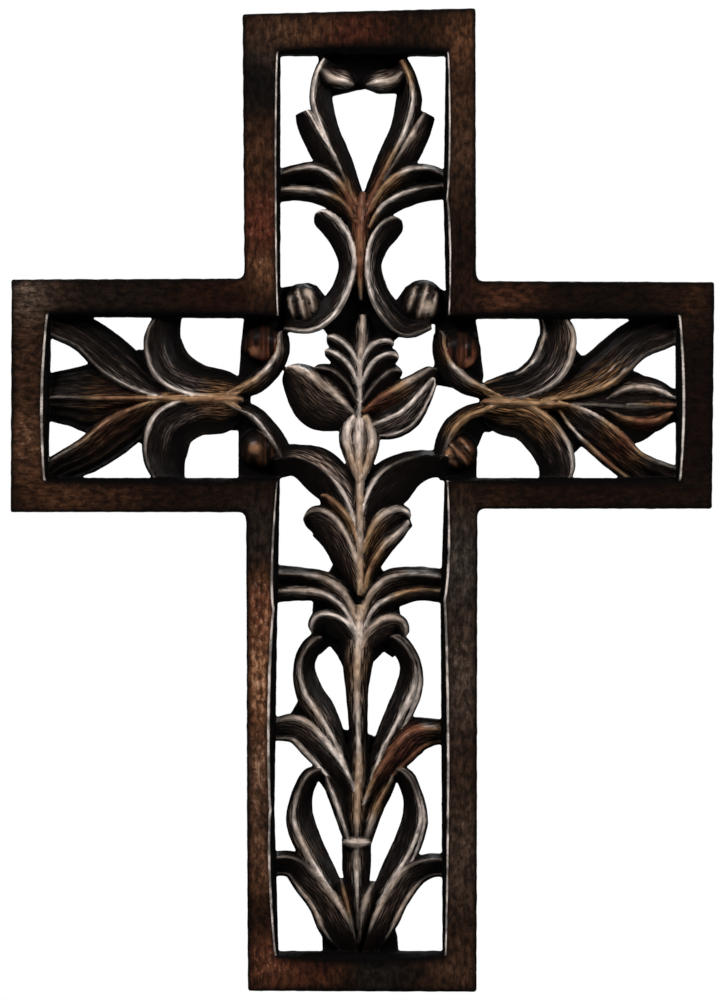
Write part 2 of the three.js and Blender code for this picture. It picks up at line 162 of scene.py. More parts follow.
leaf("oval_left", "dark rosy rosy rosy", 0.55,
     [[356, 420, 7], [340, 413, 20], [321, 402, 28], [300, 381, 20], [286, 367, 8]], free="tip")
leaf("oval_right_upper", "red red rosy dark", -0.6,
     [[363, 414, 5], [383, 405, 14], [402, 395, 15], [420, 383, 12], [437, 369, 8]], free="tip")
# The lower right oval leaf has painted light on one slope, as a lit side.
leaf("oval_right_lower", "dark pale pale pale", -0.2,
     [[366, 428, 8], [386, 423, 17], [404, 414, 18], [419, 398, 13], [434, 378, 5]], painted_lit_side=0.55, rim=1,
     free="tip")
leaf("calyx_left", "rosy tan cream cream", -0.3,
     [[360, 482, 4], [353, 456, 9], [349, 434, 10], [355, 416, 6]], hollow=0.8)
leaf("calyx_right", "rosy tan cream tan", 0.3,
     [[360, 482, 4], [367, 456, 9], [370, 435, 9.5], [363, 416, 6]], hollow=0.8)
leaf("calyx_rib", "tan tan cream cream", 0,
     [[360, 490, 3], [359, 460, 8], [359, 436, 10], [359, 418, 10]], hollow=0.7)

# %% The blades of the two side arms
leaf("left_scroll_upper", "dark dark pale broad gold gold", 0.85,
     [[169, 313, 12], [162, 340, 19], [171, 366, 21], [197, 381, 18], [224, 384, 14], [244, 387, 7]],
     flutes=2, free="tip")
leaf("left_scroll_lower", "dark dark pale pale gold gold", -0.85,
     [[170, 482, 14], [164, 455, 22], [171, 428, 24], [196, 415, 21], [222, 415, 18], [243, 412, 8]],
     flutes=2, free="tip")
leaf("left_ring_upper", "gold gold tan pale rosy dark", -0.5,
     [[222, 396, 2], [238, 391, 6], [254, 385, 9], [271, 370, 9], [281, 352, 8], [282, 330, 6]],
     free="tip")
leaf("left_ring_lower", "gold dark pale pale dark black", 0.4,
     [[222, 401, 2], [238, 407, 6], [253, 413, 8], [268, 429, 9], [279, 445, 9], [286, 462, 6]],
     free="tip")
leaf("left_stem", "gold copper gold gold bronze", 0,
     [[243, 399, 1], [227, 399, 9], [203, 399, 14], [174, 399, 10], [150, 398, 6], [122, 398, 3]],
     flutes=2, hollow=0.6)
leaf("left_fan_upper", "pale pale dark dark dark", -0.8,
     [[170, 397, 3], [142, 380, 15], [113, 358, 21], [84, 334, 18], [57, 322, 17], [38, 314, 14]],
     flutes=4)
leaf("left_fan_middle", "gold bronze bronze dark dark", 0,
     [[165, 398, 2], [134, 398, 11], [108, 398, 23], [90, 398, 34], [70, 397, 29], [40, 397, 22]],
     flutes=6)
leaf("left_fan_lower", "tan bronze bronze dark dark", 0.8,
     [[170, 400, 3], [146, 414, 14], [117, 433, 20], [88, 454, 18], [58, 469, 15], [38, 480, 14]],
     flutes=4)
leaf("right_scroll_upper", "dark rosy pale dark bronze", -0.85,
     [[550, 313, 11], [558, 336, 19], [549, 365, 20], [527, 382, 16], [505, 387, 13], [482, 389, 7]],
     flutes=4, rim=1, free="tip")
leaf("right_scroll_lower", "dark pale gold gold gold", 0.85,
     [[555, 484, 15], [557, 461, 19], [544, 437, 20], [525, 421, 19], [502, 417, 17], [481, 414, 8]],
     flutes=3, free="tip")
leaf("right_ring_upper", "gold gold rosy pale bronze dark", 0.6,
     [[502, 398, 2], [487, 393, 6], [467, 385, 9], [450, 371, 10], [441, 352, 8], [440, 330, 6]],
     free="tip")
leaf("right_ring_lower", "gold gold gold gold dark black", -0.4,
     [[502, 402, 2], [487, 407, 6], [467, 414, 8], [451, 428, 9], [443, 445, 8], [438, 462, 5]],
     free="tip")
leaf("right_stem", "copper gold gold bronze", 0,
     [[481, 402, 1], [498, 402, 9], [524, 403, 12], [548, 404, 7], [576, 405, 3]], flutes=2, hollow=0.6)
leaf("right_fan_upper", "gold gold gold dark dark dark", 0.85,
     [[540, 398, 3], [572, 385, 15], [603, 368, 21], [636, 340, 20], [662, 329, 20], [688, 322, 16]],
     flutes=3)
leaf("right_fan_middle", "dark", 0,
     [[568, 404, 3], [605, 405, 20], [634, 407, 36], [656, 406, 25], [674, 405, 17], [692, 405, 14]])
leaf("right_fan_lower", "gold pale red dark dark", -0.85,
     [[556, 402, 3], [581, 421, 15], [606, 441, 19], [634, 466, 17], [660, 479, 18], [686, 484, 16]],
     flutes=3, rim=1)
leaf("right_petal_upper", "dark rosy pale", 0,
     [[606, 399, 3], [630, 388, 11], [654, 389, 11], [676, 398, 6]], high=True, free="tip")
leaf("right_petal_middle", "dark dark red bronze", 0,
     [[612, 404, 3], [638, 404, 8], [662, 405, 9], [684, 405, 7]], high=True, free="tip")
leaf("right_petal_lower", "dark red bronze", 0,
     [[606, 409, 3], [630, 420, 11], [654, 421, 11], [674, 412, 6]], high=True, free="tip")

# %% The blades of the lower shaft, down to the first lyre
# Some blades below have painted light on one slope, as a lit side.
leaf("rising_left", "rosy pale pale dark black black", 0.15,
     [[358, 542, 3], [350, 512, 10], [337, 489, 20], [317, 469, 22], [295, 460, 16], [274, 462, 17]],
     painted_lit_side=0.75)
leaf("rising_right", "pale pale pale dark black black", -0.6,
     [[361, 540, 3], [371, 508, 13], [389, 485, 24], [409, 470, 19], [430, 464, 14], [450, 465, 13]])
leaf("rising_flute_left", "tan bronze", 0.3,
     [[358, 550, 3], [350, 524, 7], [336, 507, 9], [321, 495, 7]], high=True, free="tip")
leaf("curled_left", "tan rosy rosy dark", 0.7,
     [[358, 592, 5], [349, 566, 13], [336, 538, 16], [320, 521, 16], [303, 519, 8]], free="tip")
leaf("curled_right_upper", "tan gold rosy pale", -0.5,
     [[362, 565, 3], [372, 540, 11], [386, 521, 14], [400, 514, 10], [411, 517, 5]], free="tip")
leaf("curled_right_lower", "tan bronze rosy pale", 0.2,
     [[362, 592, 5], [369, 566, 11], [382, 545, 12], [398, 531, 9], [409, 521, 4]], free="tip")
leaf("middle_stem", "cream tan rosy tan tan", 0,
     [[360, 472, 4], [360, 500, 6], [360, 535, 9], [360, 562, 7], [360, 596, 3]], high=True, hollow=0.8)
leaf("reach_left_upper", "tan rosy rosy dark dark", 0.3,
     [[356, 624, 4], [345, 600, 9], [327, 584, 11], [304, 578, 10], [273, 577, 12]])
leaf("reach_left_lower", "pale pale rosy dark", 0.2,
     [[355, 630, 4], [340, 607, 9], [321, 595, 8], [300, 593, 8], [273, 593, 10]])
leaf("reach_right_upper", "tan rosy dark dark", -0.4,
     [[363, 622, 4], [372, 599, 10], [390, 583, 13], [415, 580, 13], [449, 583, 13]], painted_lit_side=-0.3)
leaf("reach_right_lower", "pale pale bronze dark", -0.2,
     [[364, 630, 4], [376, 609, 9], [395, 598, 10], [418, 592, 9], [449, 594, 10]])
leaf("droop_left", "tan pale pale dark", 0.6,
     [[357, 656, 6], [347, 634, 12], [333, 623, 13], [320, 622, 11], [313, 634, 7]], free="tip")
leaf("droop_right", "tan rosy rosy dark", -0.6,
     [[363, 656, 6], [374, 635, 12], [388, 626, 14], [399, 626, 10], [404, 638, 6]], free="tip")
leaf("lower_stem", "tan cream tan rosy pale tan rosy", 0,
     [[360, 605, 6], [359, 632, 14], [358, 655, 16], [357, 690, 11.5], [358, 722, 9.5], [359, 760, 9],
      [359, 800, 8]], hollow=0.8)
leaf("first_lyre_left", "dark dark pale rosy pale pale dark", [0.3, 0.4, 0.2, 0, 0],
     [[322, 637, 7], [311, 648, 10], [304, 665, 10.5], [308, 690, 13.5], [321, 714, 15], [338, 748, 10],
      [353, 790, 5]], flutes=1, painted_lit_side=0.3, free="root")
leaf("first_lyre_right", "dark dark broad pale pale dark", [-0.3, -0.4, -0.2, 0, 0],
     [[391, 637, 10], [403, 649, 10], [411, 667, 11], [409, 690, 13.5], [399, 714, 13.5], [384, 747, 11],
      [367, 790, 5]], flutes=1, rim=-1, free="root")

# %% The blades of the lower shaft, from the second pair of arms to the foot
leaf("sweep_left", "pale pale broad rosy dark", 0.75,
     [[356, 806, 5], [344, 784, 11], [330, 764, 14], [314, 745, 15.5], [297, 730, 15], [272, 730, 11]],
     rim=-1)
leaf("sweep_right", "pale bronze red red dark", -0.3,
     [[364, 806, 5], [376, 783, 11], [392, 760, 16], [412, 738, 19], [431, 733, 14], [450, 733, 11]],
     rim=1)
leaf("sheath_left", "dark pale pale dark", -0.4,
     [[352, 842, 8], [342, 808, 10], [333, 786, 9], [327, 776, 5]], free="tip")
leaf("sheath_right", "dark rosy bronze dark", 0.2,
     [[364, 842, 8], [375, 806, 10], [386, 786, 9], [392, 776, 6]], free="tip")
leaf("sheath_rib", "dark tan tan rosy", 0,
     [[357, 842, 8], [357, 812, 12], [358, 782, 9], [359, 756, 4]], high=True, free="tip")
leaf("collar", "dark cream cream dark", 0,
     [[342, 843, 4], [350, 843, 6], [364, 843, 6], [371, 843, 4]], high=True, hollow=0.6)
leaf("foot_stem", "dark dark pale rosy dark", 0,
     [[358, 930, 5], [357, 892, 11], [356.5, 870, 14], [356.5, 842, 14.5]])
# The left second lyre has painted light on one slope, as a lit side.
leaf("second_lyre_left", "dark dark pale rosy pale pale black black", [0.3, 0.45, 0.3, 0, 0],
     [[321, 770, 5], [310, 778, 9], [302, 796, 10.5], [300, 821, 14], [309, 847, 14], [326, 880, 12.5],
      [342, 912, 9], [355, 945, 5]], flutes=1, painted_lit_side=0.4, free="root")
leaf("second_lyre_right", "dark dark pale pale pale pale black black", [-0.3, -0.45, -0.3, 0, 0],
     [[396, 770, 5], [405, 778, 9], [413, 797, 10], [415, 821, 13], [407, 847, 14], [393, 875, 13],
      [378, 907, 10], [364, 945, 5]], flutes=1, rim=-1, free="root")
leaf("flame_left", "black dark bronze dark", 0,
     [[356, 945, 4], [350, 917, 8], [345, 896, 8], [341, 880, 3]], high=True, free="tip")
leaf("flame_right", "black dark rosy dark", 0,
     [[359, 945, 4], [362, 917, 9], [367, 897, 9], [374, 883, 3]], high=True, free="tip")
leaf("foot_left", "black black rosy rosy dark dark", 0.6,
     [[355, 962, 8], [338, 926, 20], [324, 901, 17.5], [308, 881, 16.5], [292, 866, 13], [272, 865, 12]],
     rim=-1)
leaf("foot_right", "black black rosy rosy dark dark", -0.6,
     [[365, 962, 8], [381, 926, 15], [394, 899, 15.5], [411, 876, 15], [430, 867, 12], [450, 867, 11]],
     rim=1)
print(len(LEAVES), "blades")

# %% [markdown]
# A finish is three shares and a width. Rub is how light the ridge is worn, and body how light the slopes
# are. Warm is the colour of the wood that shows: 0 is a cool cream, 0.5 golden and 1 a copper red. Worn
# is how far from the ridge the wear reaches.

# %% The named finishes
FINISHES = {
    "black": {"rub": 0.0, "body": 0.0, "warm": 0.15, "worn": 0.8 * MM},
    "dark": {"rub": 0.16, "body": 0.02, "warm": 0.15, "worn": 0.8 * MM},
    "bronze": {"rub": 0.5, "body": 0.14, "warm": 0.8, "worn": 1.1 * MM},
    "pale": {"rub": 0.95, "body": 0.04, "warm": 0.08, "worn": 1.1 * MM},
    "broad": {"rub": 1.0, "body": 0.06, "warm": 0.06, "worn": 1.9 * MM},
    "rosy": {"rub": 0.7, "body": 0.24, "warm": 0.22, "worn": 1.8 * MM},
    "cream": {"rub": 1.0, "body": 0.7, "warm": 0.14, "worn": 2.2 * MM},
    "tan": {"rub": 0.85, "body": 0.4, "warm": 0.35, "worn": 1.7 * MM},
    "gold": {"rub": 0.55, "body": 0.5, "warm": 0.58, "worn": 1.8 * MM},
    "copper": {"rub": 0.5, "body": 0.6, "warm": 0.8, "worn": 2.2 * MM},
    "red": {"rub": 0.4, "body": 0.42, "warm": 1.0, "worn": 1.8 * MM},
}
print("finishes:", ", ".join(FINISHES))

# %% [markdown]
# A spine is drawn through its points by a centripetal spline, which never loops between points that lie
# close together. The half width runs along with it as a third number.

# %% Draw a spine through its points
SPINE_STEP = 1.0 * MM


def rounded_end(line):
    """Takes the half width down to nothing at the end of the line, as a half circle does."""
    radius = line[-1, 2]
    steps = np.linalg.norm(np.diff(line[:, :2], axis=0), axis=1)
    to_end = np.append(np.cumsum(steps[::-1])[::-1], 0)
    inwards = np.clip(1 - to_end / radius, 0, 1)
    line[:, 2] *= np.sqrt(1 - inwards ** 2)


def spine_line(spine, free=""):
    """The spine as rows of x, z and half width, about SPINE_STEP apart."""
    points = np.array([[*place(column, row), half * SQUARE] for column, row, half in spine])
    points = np.vstack([2 * points[0] - points[1], points, 2 * points[-1] - points[-2]])
    rows = [points[1:2]]
    for a, b, c, d in zip(points, points[1:], points[2:], points[3:]):
        gaps = [np.linalg.norm(q - p) ** 0.5 for p, q in ((a, b), (b, c), (c, d))]
        t0, t1, t2, t3 = np.cumsum([0, *gaps])
        count = max(2, round(np.linalg.norm(c - b) / SPINE_STEP))
        t = np.linspace(t1, t2, count + 1)[1:, None]
        ab = (t1 - t) / (t1 - t0) * a + (t - t0) / (t1 - t0) * b
        bc = (t2 - t) / (t2 - t1) * b + (t - t1) / (t2 - t1) * c
        cd = (t3 - t) / (t3 - t2) * c + (t - t2) / (t3 - t2) * d
        abc = (t2 - t) / (t2 - t0) * ab + (t - t0) / (t2 - t0) * bc
        bcd = (t3 - t) / (t3 - t1) * bc + (t - t1) / (t3 - t1) * cd
        rows.append((t2 - t) / (t2 - t1) * abc + (t - t1) / (t2 - t1) * bcd)
    line = np.vstack(rows)
    if "tip" in free:
        rounded_end(line)
    if "root" in free:
        rounded_end(line[::-1])
    return line


print("the left lyre's spine has", len(spine_line(LEAVES["lyre_left"]["spine"])), "points")

# %% [markdown]
# All the spines go into one mesh of plain edges. What a blade needs to know travels on its points as
# named attributes, so that a single tree can build every blade in one go.

# %% Put all spines into one mesh
CREST = 16.4 * MM
RAISED = 0.8 * MM
THINNEST_HALF = 0.4 * MM


def new_object(name, mesh):
    """An object at the origin that shows the mesh."""
    made = bpy.data.objects.new(name, mesh)
    scene.collection.objects.link(made)
    return made


def spread(values, count):
    """A few values spread evenly over many points, with the steps between them filled in."""
    return list(np.interp(np.linspace(0, len(values) - 1, count), range(len(values)), values))


def spines_mesh():
    """One line of edges for each blade, with its half width, lean and finish on the points."""
    points, edges = [], []
    same_keys = ("flutes", "hollow", "painted_lit_side", "rim")
    finish_keys = ("rub", "body", "warm", "worn")
    marks = {key: [] for key in ("half", "top", "lean", *same_keys, *finish_keys)}
    for blade in LEAVES.values():
        line = spine_line(blade["spine"], blade["free"])
        first = len(points)
        points += [(x, 0, z) for x, z, _ in line]
        edges += [(first + i, first + i + 1) for i in range(len(line) - 1)]
        marks["half"] += [max(half, THINNEST_HALF) for half in line[:, 2]]
        marks["top"] += [CREST + (RAISED if blade["high"] else 0)] * len(line)
        for key in same_keys:
            marks[key] += [blade[key]] * len(line)
        marks["lean"] += spread(blade["lean"], len(line))
        for key in finish_keys:
            marks[key] += spread([FINISHES[finish][key] for finish in blade["finish"]], len(line))
    mesh = bpy.data.meshes.new("leaf_spines")
    mesh.from_pydata(points, edges, [])
    for key, values in marks.items():
        mesh.attributes.new(key, "FLOAT", "POINT").data.foreach_set("value", values)
    return mesh


leaf_spines = new_object("leaf_spines", spines_mesh())
print("spine points:", len(leaf_spines.data.vertices))

# %% [markdown]
# Node trees are easier to read when a line of code makes one node with its inputs already linked. The
# small builder below does that: an input is either a socket of another node or a plain value. The named
# steps further down, such as WASH_STREAKS, hold what smooth takes: low, high, and then start and end if
# they aren't 0 and 1.

# %% A small builder for node trees
class Tree:
    """Builds nodes in a tree, one call for each."""

    def __init__(self, tree):
        self.tree = tree

    def node(self, kind, *inputs, out=0, named=None, **settings):
        """Makes a node, sets it up, fills its inputs in order or by name, and returns one output."""
        made = self.tree.nodes.new(kind)
        for key, value in settings.items():
            setattr(made, key, value)
        live = [socket for socket in made.inputs if socket.enabled]
        for socket, value in zip(live, inputs):
            self.fill(socket, value)
        for key, value in (named or {}).items():
            self.fill(next(socket for socket in live if socket.name == key), value)
        outputs = [socket for socket in made.outputs if socket.enabled]
        if isinstance(out, str):
            return next(socket for socket in outputs if socket.name == out)
        return outputs[out] if outputs else made

    def fill(self, socket, value):
        """Links a socket, or sets its value."""
        if value is None:
            return
        if isinstance(value, bpy.types.NodeSocket):
            self.tree.links.new(value, socket)
        else:
            socket.default_value = value

    def math(self, operation, a, b=None, c=None):
        return self.node("ShaderNodeMath", a, b, c, operation=operation)

    def times(self, a, b):
        return self.math("MULTIPLY", a, b)

    def plus(self, a, b):
        return self.math("ADD", a, b)

    def minus(self, a, b):
        return self.math("SUBTRACT", a, b)

    def vector(self, operation, a, b=None, out=0):
        return self.node("ShaderNodeVectorMath", a, b, operation=operation, out=out)

    def read(self, name, kind="FLOAT"):
        """Reads a mark that the points carry."""
        return self.node("GeometryNodeInputNamedAttribute", name, data_type=kind)

    def keep(self, geometry, name, value, kind="FLOAT"):
        """Stores a value on the points as a mark."""
        return self.node("GeometryNodeStoreNamedAttribute", geometry, True, name, value, data_type=kind)

    def smooth(self, value, low, high, start=0.0, end=1.0):
        """A smooth step from start to end while the value runs from low to high."""
        return self.node("ShaderNodeMapRange", value, low, high, start, end,
                         interpolation_type="SMOOTHSTEP")


def geometry_tree(name, inputs):
    """A Geometry Nodes tree with named inputs, as its builder and a dict of its input sockets."""
    group = bpy.data.node_groups.new(name, "GeometryNodeTree")
    group.interface.new_socket("Geometry", in_out="OUTPUT", socket_type="NodeSocketGeometry")
    for label, (kind, default) in inputs.items():
        socket = group.interface.new_socket(label, in_out="INPUT", socket_type=kind)
        if default is not None:
            socket.default_value = default
    source = group.nodes.new("NodeGroupInput")
    return Tree(group), {label: source.outputs[label] for label in inputs}


def finish_tree(build, geometry):
    """Ends a tree with real geometry and its material."""
    real = build.node("GeometryNodeRealizeInstances", geometry)
    dressed = build.node("GeometryNodeSetMaterial", real, None, carving_wood)
    end = build.tree.nodes.new("NodeGroupOutput")
    build.tree.links.new(dressed, end.inputs[0])


carving_wood = bpy.data.materials.new("rubbed_leaves")
bar_wood = bpy.data.materials.new("stained_bars")
print("builder ready")

# %% [markdown]
# A gouge leaves a blade as two hollow slopes that meet in a ridge. The tree sweeps a closed loop of
# points along each spine and then sets every point by its own numbers: across, from -1 to 1, and along,
# from 0 at the root to 1 at the tip. The ridge is highest half way along. Flutes are shallow rounded
# cuts, and a rim is a low thin crest. The tree also stores what the finish will need: how far the crest
# is rubbed, how much the slope beside it is washed out or painted light on a lit side, how warm the wood
# is, and a net for the streaks, which is the way across, the way walked along the spine, and the distance
# from the nearest crest.

# %% Sweep a loop along every spine
def swept_loops(build, given):
    """Closed loops of points along the spines, which still carry what the spines know."""
    lines = build.node("GeometryNodeMeshToCurve", given["Spines"])
    lines = build.node("GeometryNodeResampleCurve", lines, named={"Length": given["Step"]}, mode="LENGTH")
    lines = build.keep(lines, "spine_at", build.node("GeometryNodeInputPosition"), "FLOAT_VECTOR")
    side = build.vector("CROSS_PRODUCT", (0, 1, 0), build.node("GeometryNodeInputTangent"))
    lines = build.keep(lines, "spine_side", side, "FLOAT_VECTOR")
    lines = build.keep(lines, "along", build.node("GeometryNodeSplineParameter"))
    lines = build.keep(lines, "walked", build.node("GeometryNodeSplineParameter", out="Length"))
    loop = build.node("GeometryNodeCurvePrimitiveCircle", build.plus(given["Points Across"], 2))
    loop = build.keep(loop, "loop_at", build.node("GeometryNodeInputIndex"))
    return build.node("GeometryNodeCurveToMesh", lines, loop, named={"Fill Caps": True})


def way_across(build, points_across):
    """From -1 to 1 over the top of a blade, and whether a point is one of the two on the back."""
    last = build.minus(points_across, 1)
    loop_at = build.read("loop_at")
    below = build.math("GREATER_THAN", loop_at, build.plus(last, 0.5))
    second = build.math("GREATER_THAN", loop_at, build.plus(last, 1.5))
    right_below = build.minus(1, build.times(2, second))
    share = build.math("DIVIDE", loop_at, last)
    on_top = build.minus(build.times(2, share), 1)
    return build.node("ShaderNodeMix", below, on_top, right_below, data_type="FLOAT"), below


print("sweep ready")

# %% Shape the ridge, the flutes and the rim
LEAF_EDGE = 0.64
DROP_PHASE = 0.12
JUST_OVER = 1.0001
FLUTES_START, FLUTES_FULL = 0.02, 0.3


def ridge_height(build, given, from_ridge):
    """The height of a plain ridged blade, and how far down its slope a point lies, from 0 to 1."""
    lean = build.read("lean")
    right_share = build.math("DIVIDE", from_ridge, build.minus(JUST_OVER, lean))
    left_share = build.math("DIVIDE", from_ridge, build.minus(-JUST_OVER, lean))
    slope = build.math("MAXIMUM", right_share, left_share)
    still_up = build.math("MAXIMUM", build.minus(1, slope), 0)
    ridge = build.math("POWER", still_up, build.read("hollow"))
    turn = (1 - 2 * DROP_PHASE) * math.pi
    phase = build.math("MULTIPLY_ADD", build.read("along"), turn, DROP_PHASE * math.pi)
    sunk = build.times(given["Ridge Drop"], build.minus(1, build.math("SINE", phase)))
    crest = build.minus(build.read("top"), sunk)
    share = build.math("MULTIPLY_ADD", ridge, 1 - LEAF_EDGE, LEAF_EDGE)
    return build.times(crest, share), slope


def flute_wave(build, across):
    """0 on the crests between the cuts and 1 in the cuts, and how strongly the flutes show."""
    flutes = build.read("flutes")
    turn = build.times(build.plus(across, 1), build.times(flutes, math.pi))
    wave = build.math("MULTIPLY_ADD", build.math("COSINE", turn), -0.5, 0.5)
    begun = build.smooth(build.read("along"), FLUTES_START, FLUTES_FULL)
    return wave, build.times(begun, build.math("MINIMUM", flutes, 1))


def rim_distance(build, given, across):
    """How far a point is from the rim's line, and whether the blade has a rim."""
    rim = build.read("rim")
    from_rim = build.minus(across, build.times(rim, given["Rim Place"]))
    to_rim = build.times(build.math("ABSOLUTE", from_rim), build.read("half"))
    return to_rim, build.math("ABSOLUTE", rim)


print("profile ready")

# %% Store what the finish will need
RIM_LINE = 1.7
FLUTE_CREST, FLUTE_WEAR = 0.35, 0.4
# Where the painted light on a lit side fades out towards the tip.
PAINTED_LIGHT_FADES, PAINTED_LIGHT_ENDS = 0.65, 0.95
WASH_FADES, WASH_ENDS, WASH_LEFT = 0.25, 0.95, 0.1


def slope_wash_and_painted_light(build, from_ridge, slope, wave, fluted):
    """How far the stain is washed out of the slopes and the crests between the flutes, plus painted light
    on the lit side of some blades.
    """
    # Painted light: the slope on one side of some ridges is painted lighter, where light from above falls.
    showing = build.smooth(build.read("along"), PAINTED_LIGHT_FADES, PAINTED_LIGHT_ENDS, 1.0, 0.0)
    painted_lit_side = build.times(build.read("painted_lit_side"), showing)
    painted_lit_half = build.math("GREATER_THAN", build.times(from_ridge, painted_lit_side), 0.0)
    on_painted_lit_side = build.times(painted_lit_half, build.math("ABSOLUTE", painted_lit_side))
    fading = build.smooth(slope, WASH_FADES, WASH_ENDS, 1.0, WASH_LEFT)
    wash_and_painted_light = build.times(build.math("MAXIMUM", build.read("body"), on_painted_lit_side), fading)
    on_flute = build.times(build.smooth(wave, 0.0, FLUTE_CREST, FLUTE_WEAR, 0.0), fluted)
    return build.math("MAXIMUM", wash_and_painted_light, build.times(on_flute, build.read("rub")))


def crest_distance(build, from_ridge, to_rim, has_rim):
    """How far a point is from the nearest crest, which is the ridge or the rim."""
    to_ridge = build.times(build.math("ABSOLUTE", from_ridge), build.read("half"))
    no_rim = build.minus(1, has_rim)
    return build.math("MINIMUM", to_ridge, build.math("MULTIPLY_ADD", to_rim, RIM_LINE, no_rim))


print("marks ready")

# %% The tree of the leaf blades
def leaf_blades_tree():
    """Spine lines in, closed and carved blades out."""
    build, given = geometry_tree("leaf blades", {
        "Spines": ("NodeSocketGeometry", None),
        "Step": ("NodeSocketFloat", 0.7 * MM),
        "Points Across": ("NodeSocketInt", 30),
        "Ridge Drop": ("NodeSocketFloat", 3.2 * MM),
        "Flute Depth": ("NodeSocketFloat", 1.1 * MM),
        "Rim Place": ("NodeSocketFloat", 0.74),
        "Rim Height": ("NodeSocketFloat", 0.9 * MM),
        "Rim Width": ("NodeSocketFloat", 1.1 * MM),
    })
    swept = swept_loops(build, given)
    across, below = way_across(build, given["Points Across"])
    from_ridge = build.minus(across, build.read("lean"))
    height, slope = ridge_height(build, given, from_ridge)
    wave, fluted = flute_wave(build, across)
    cut = build.times(build.times(wave, fluted), given["Flute Depth"])
    height = build.minus(height, cut)
    to_rim, has_rim = rim_distance(build, given, across)
    on_rim = build.times(build.smooth(to_rim, 0.0, given["Rim Width"], 1.0, 0.0), has_rim)
    height = build.plus(height, build.times(on_rim, given["Rim Height"]))
    height = build.times(height, build.minus(1, below))

    reach = build.times(across, build.read("half"))
    sideways = build.vector("SCALE", build.read("spine_side", "FLOAT_VECTOR"), reach)
    forwards = build.node("ShaderNodeCombineXYZ", 0.0, build.times(height, -1), 0.0)
    point = build.vector("ADD", build.read("spine_at", "FLOAT_VECTOR"), sideways)
    shaped = build.node("GeometryNodeSetPosition", swept, True, build.vector("ADD", point, forwards))

    # The wash holds the worn stain and the painted light of a lit side.
    wash_and_painted_light = slope_wash_and_painted_light(build, from_ridge, slope, wave, fluted)
    finish = build.node("FunctionNodeCombineColor", build.read("rub"), wash_and_painted_light, build.read("warm"), 1.0)
    marked = build.keep(shaped, "finish", finish, "FLOAT_COLOR")
    distance = crest_distance(build, from_ridge, to_rim, has_rim)
    net = build.node("ShaderNodeCombineXYZ", reach, build.read("walked"), distance)
    finish_tree(build, build.keep(marked, "blade", net, "FLOAT_VECTOR"))
    return build.tree


def taken(source, name):
    """The source as its modifiers shape it, as a plain object of its own, with the modifiers gone."""
    shaped = source.evaluated_get(bpy.context.evaluated_depsgraph_get())
    mesh = bpy.data.meshes.new_from_object(shaped)
    for modifier in list(source.modifiers):
        source.modifiers.remove(modifier)
    return new_object(name, mesh)


def applied(source, tree, name, **values):
    """Runs a tree on an object and returns the result as a plain object."""
    modifier = source.modifiers.new(tree.name, "NODES")
    modifier.node_group = tree
    sockets = {item.name: item.identifier for item in tree.interface.items_tree if item.in_out == "INPUT"}
    for label, value in values.items():
        modifier[sockets[label.replace("_", " ")]] = value
    return taken(source, name)


leaf_blades = applied(leaf_spines, leaf_blades_tree(), "leaf_blades")
print("leaf blades:", len(leaf_blades.data.polygons), "faces")

# %% [markdown]
# Six leaf tips are rolled into balls, some with slanting gouge cuts on the dome. The tree stands one ball
# on each point, turned and sized by the point's own attributes, and then cuts it as deep as its point
# says. The back half of each ball runs straight down to the board's back as a round post. The painted
# highlight is a light spot painted on the ball as a highlight, placed as shares of its radius to the right
# and up from its middle.

# %% The points of the scroll balls
# Each ball gets a painted highlight, a light spot painted into its colour.
BALLS = {
    "upper_left": {"at": (301, 303, 20), "turn": -14, "cut": 0.09, "painted_highlight": (0.5, 0.4), "finish": "rosy"},
    "upper_right": {"at": (423, 301, 22), "turn": 16, "cut": 0.08, "painted_highlight": (0.3, -0.2), "finish": "rosy"},
    "left_high": {"at": (262, 343, 21), "turn": 0, "cut": 0, "painted_highlight": (-0.36, -0.43), "finish": "red"},
    "right_high": {"at": (460, 350, 21), "turn": 0, "cut": 0, "painted_highlight": (0.46, -0.58), "finish": "red"},
    "left_low": {"at": (259, 449, 21), "turn": 0, "cut": 0, "painted_highlight": (-0.24, 0.05), "finish": "bronze"},
    "right_low": {"at": (458, 452, 20), "turn": -40, "cut": 0.04, "painted_highlight": (-0.43, 0.3),
                  "finish": "bronze"},
}
BALL_TOP = CREST - 1 * MM


def balls_mesh():
    """One point for each ball, at the height of its middle."""
    mesh = bpy.data.meshes.new("ball_points")
    points, painted_highlights = [], []
    marks = {key: [] for key in ("radius", "turn", "cut", "rub", "body", "warm")}
    for ball in BALLS.values():
        column, row, half = ball["at"]
        x, z = place(column, row)
        points.append((x, half * SQUARE - BALL_TOP, z))
        marks["radius"].append(half * SQUARE)
        marks["turn"].append(math.radians(ball["turn"]))
        marks["cut"].append(ball["cut"])
        for key in ("rub", "body", "warm"):
            marks[key].append(FINISHES[ball["finish"]][key])
        # The place of the painted highlight on the front of the unit dome.
        right, up = ball["painted_highlight"]
        painted_highlights += [right, -math.sqrt(1 - right ** 2 - up ** 2), up]
    mesh.from_pydata(points, [], [])
    for key, values in marks.items():
        mesh.attributes.new(key, "FLOAT", "POINT").data.foreach_set("value", values)
    mesh.attributes.new("painted_highlight", "FLOAT_VECTOR", "POINT").data.foreach_set("vector", painted_highlights)
    return mesh


ball_points = new_object("ball_points", balls_mesh())
print("balls:", ", ".join(BALLS))

# %% The tree of the scroll balls
BALL_SEGMENTS, BALL_RINGS = 48, 32
BALL_FRONT = (-0.2, -0.6)
STREAK_FRONT = (-0.6, -0.85)
STREAK_CREST = 0.2
POST_STARTS = 0.05
POST_LENGTH = 3.0
BALL_NET = (2 * MM, 4 * MM, 0)
BALL_WORN = 1 * MM
LEAST_CUT = 0.01
LOW_HALF = (0.5, -0.4, 0.15, 0.8)
# The painted highlight: a light spot within this distance of its place.
PAINTED_HIGHLIGHT = (0.36, 0.1, 0.0, 0.65)


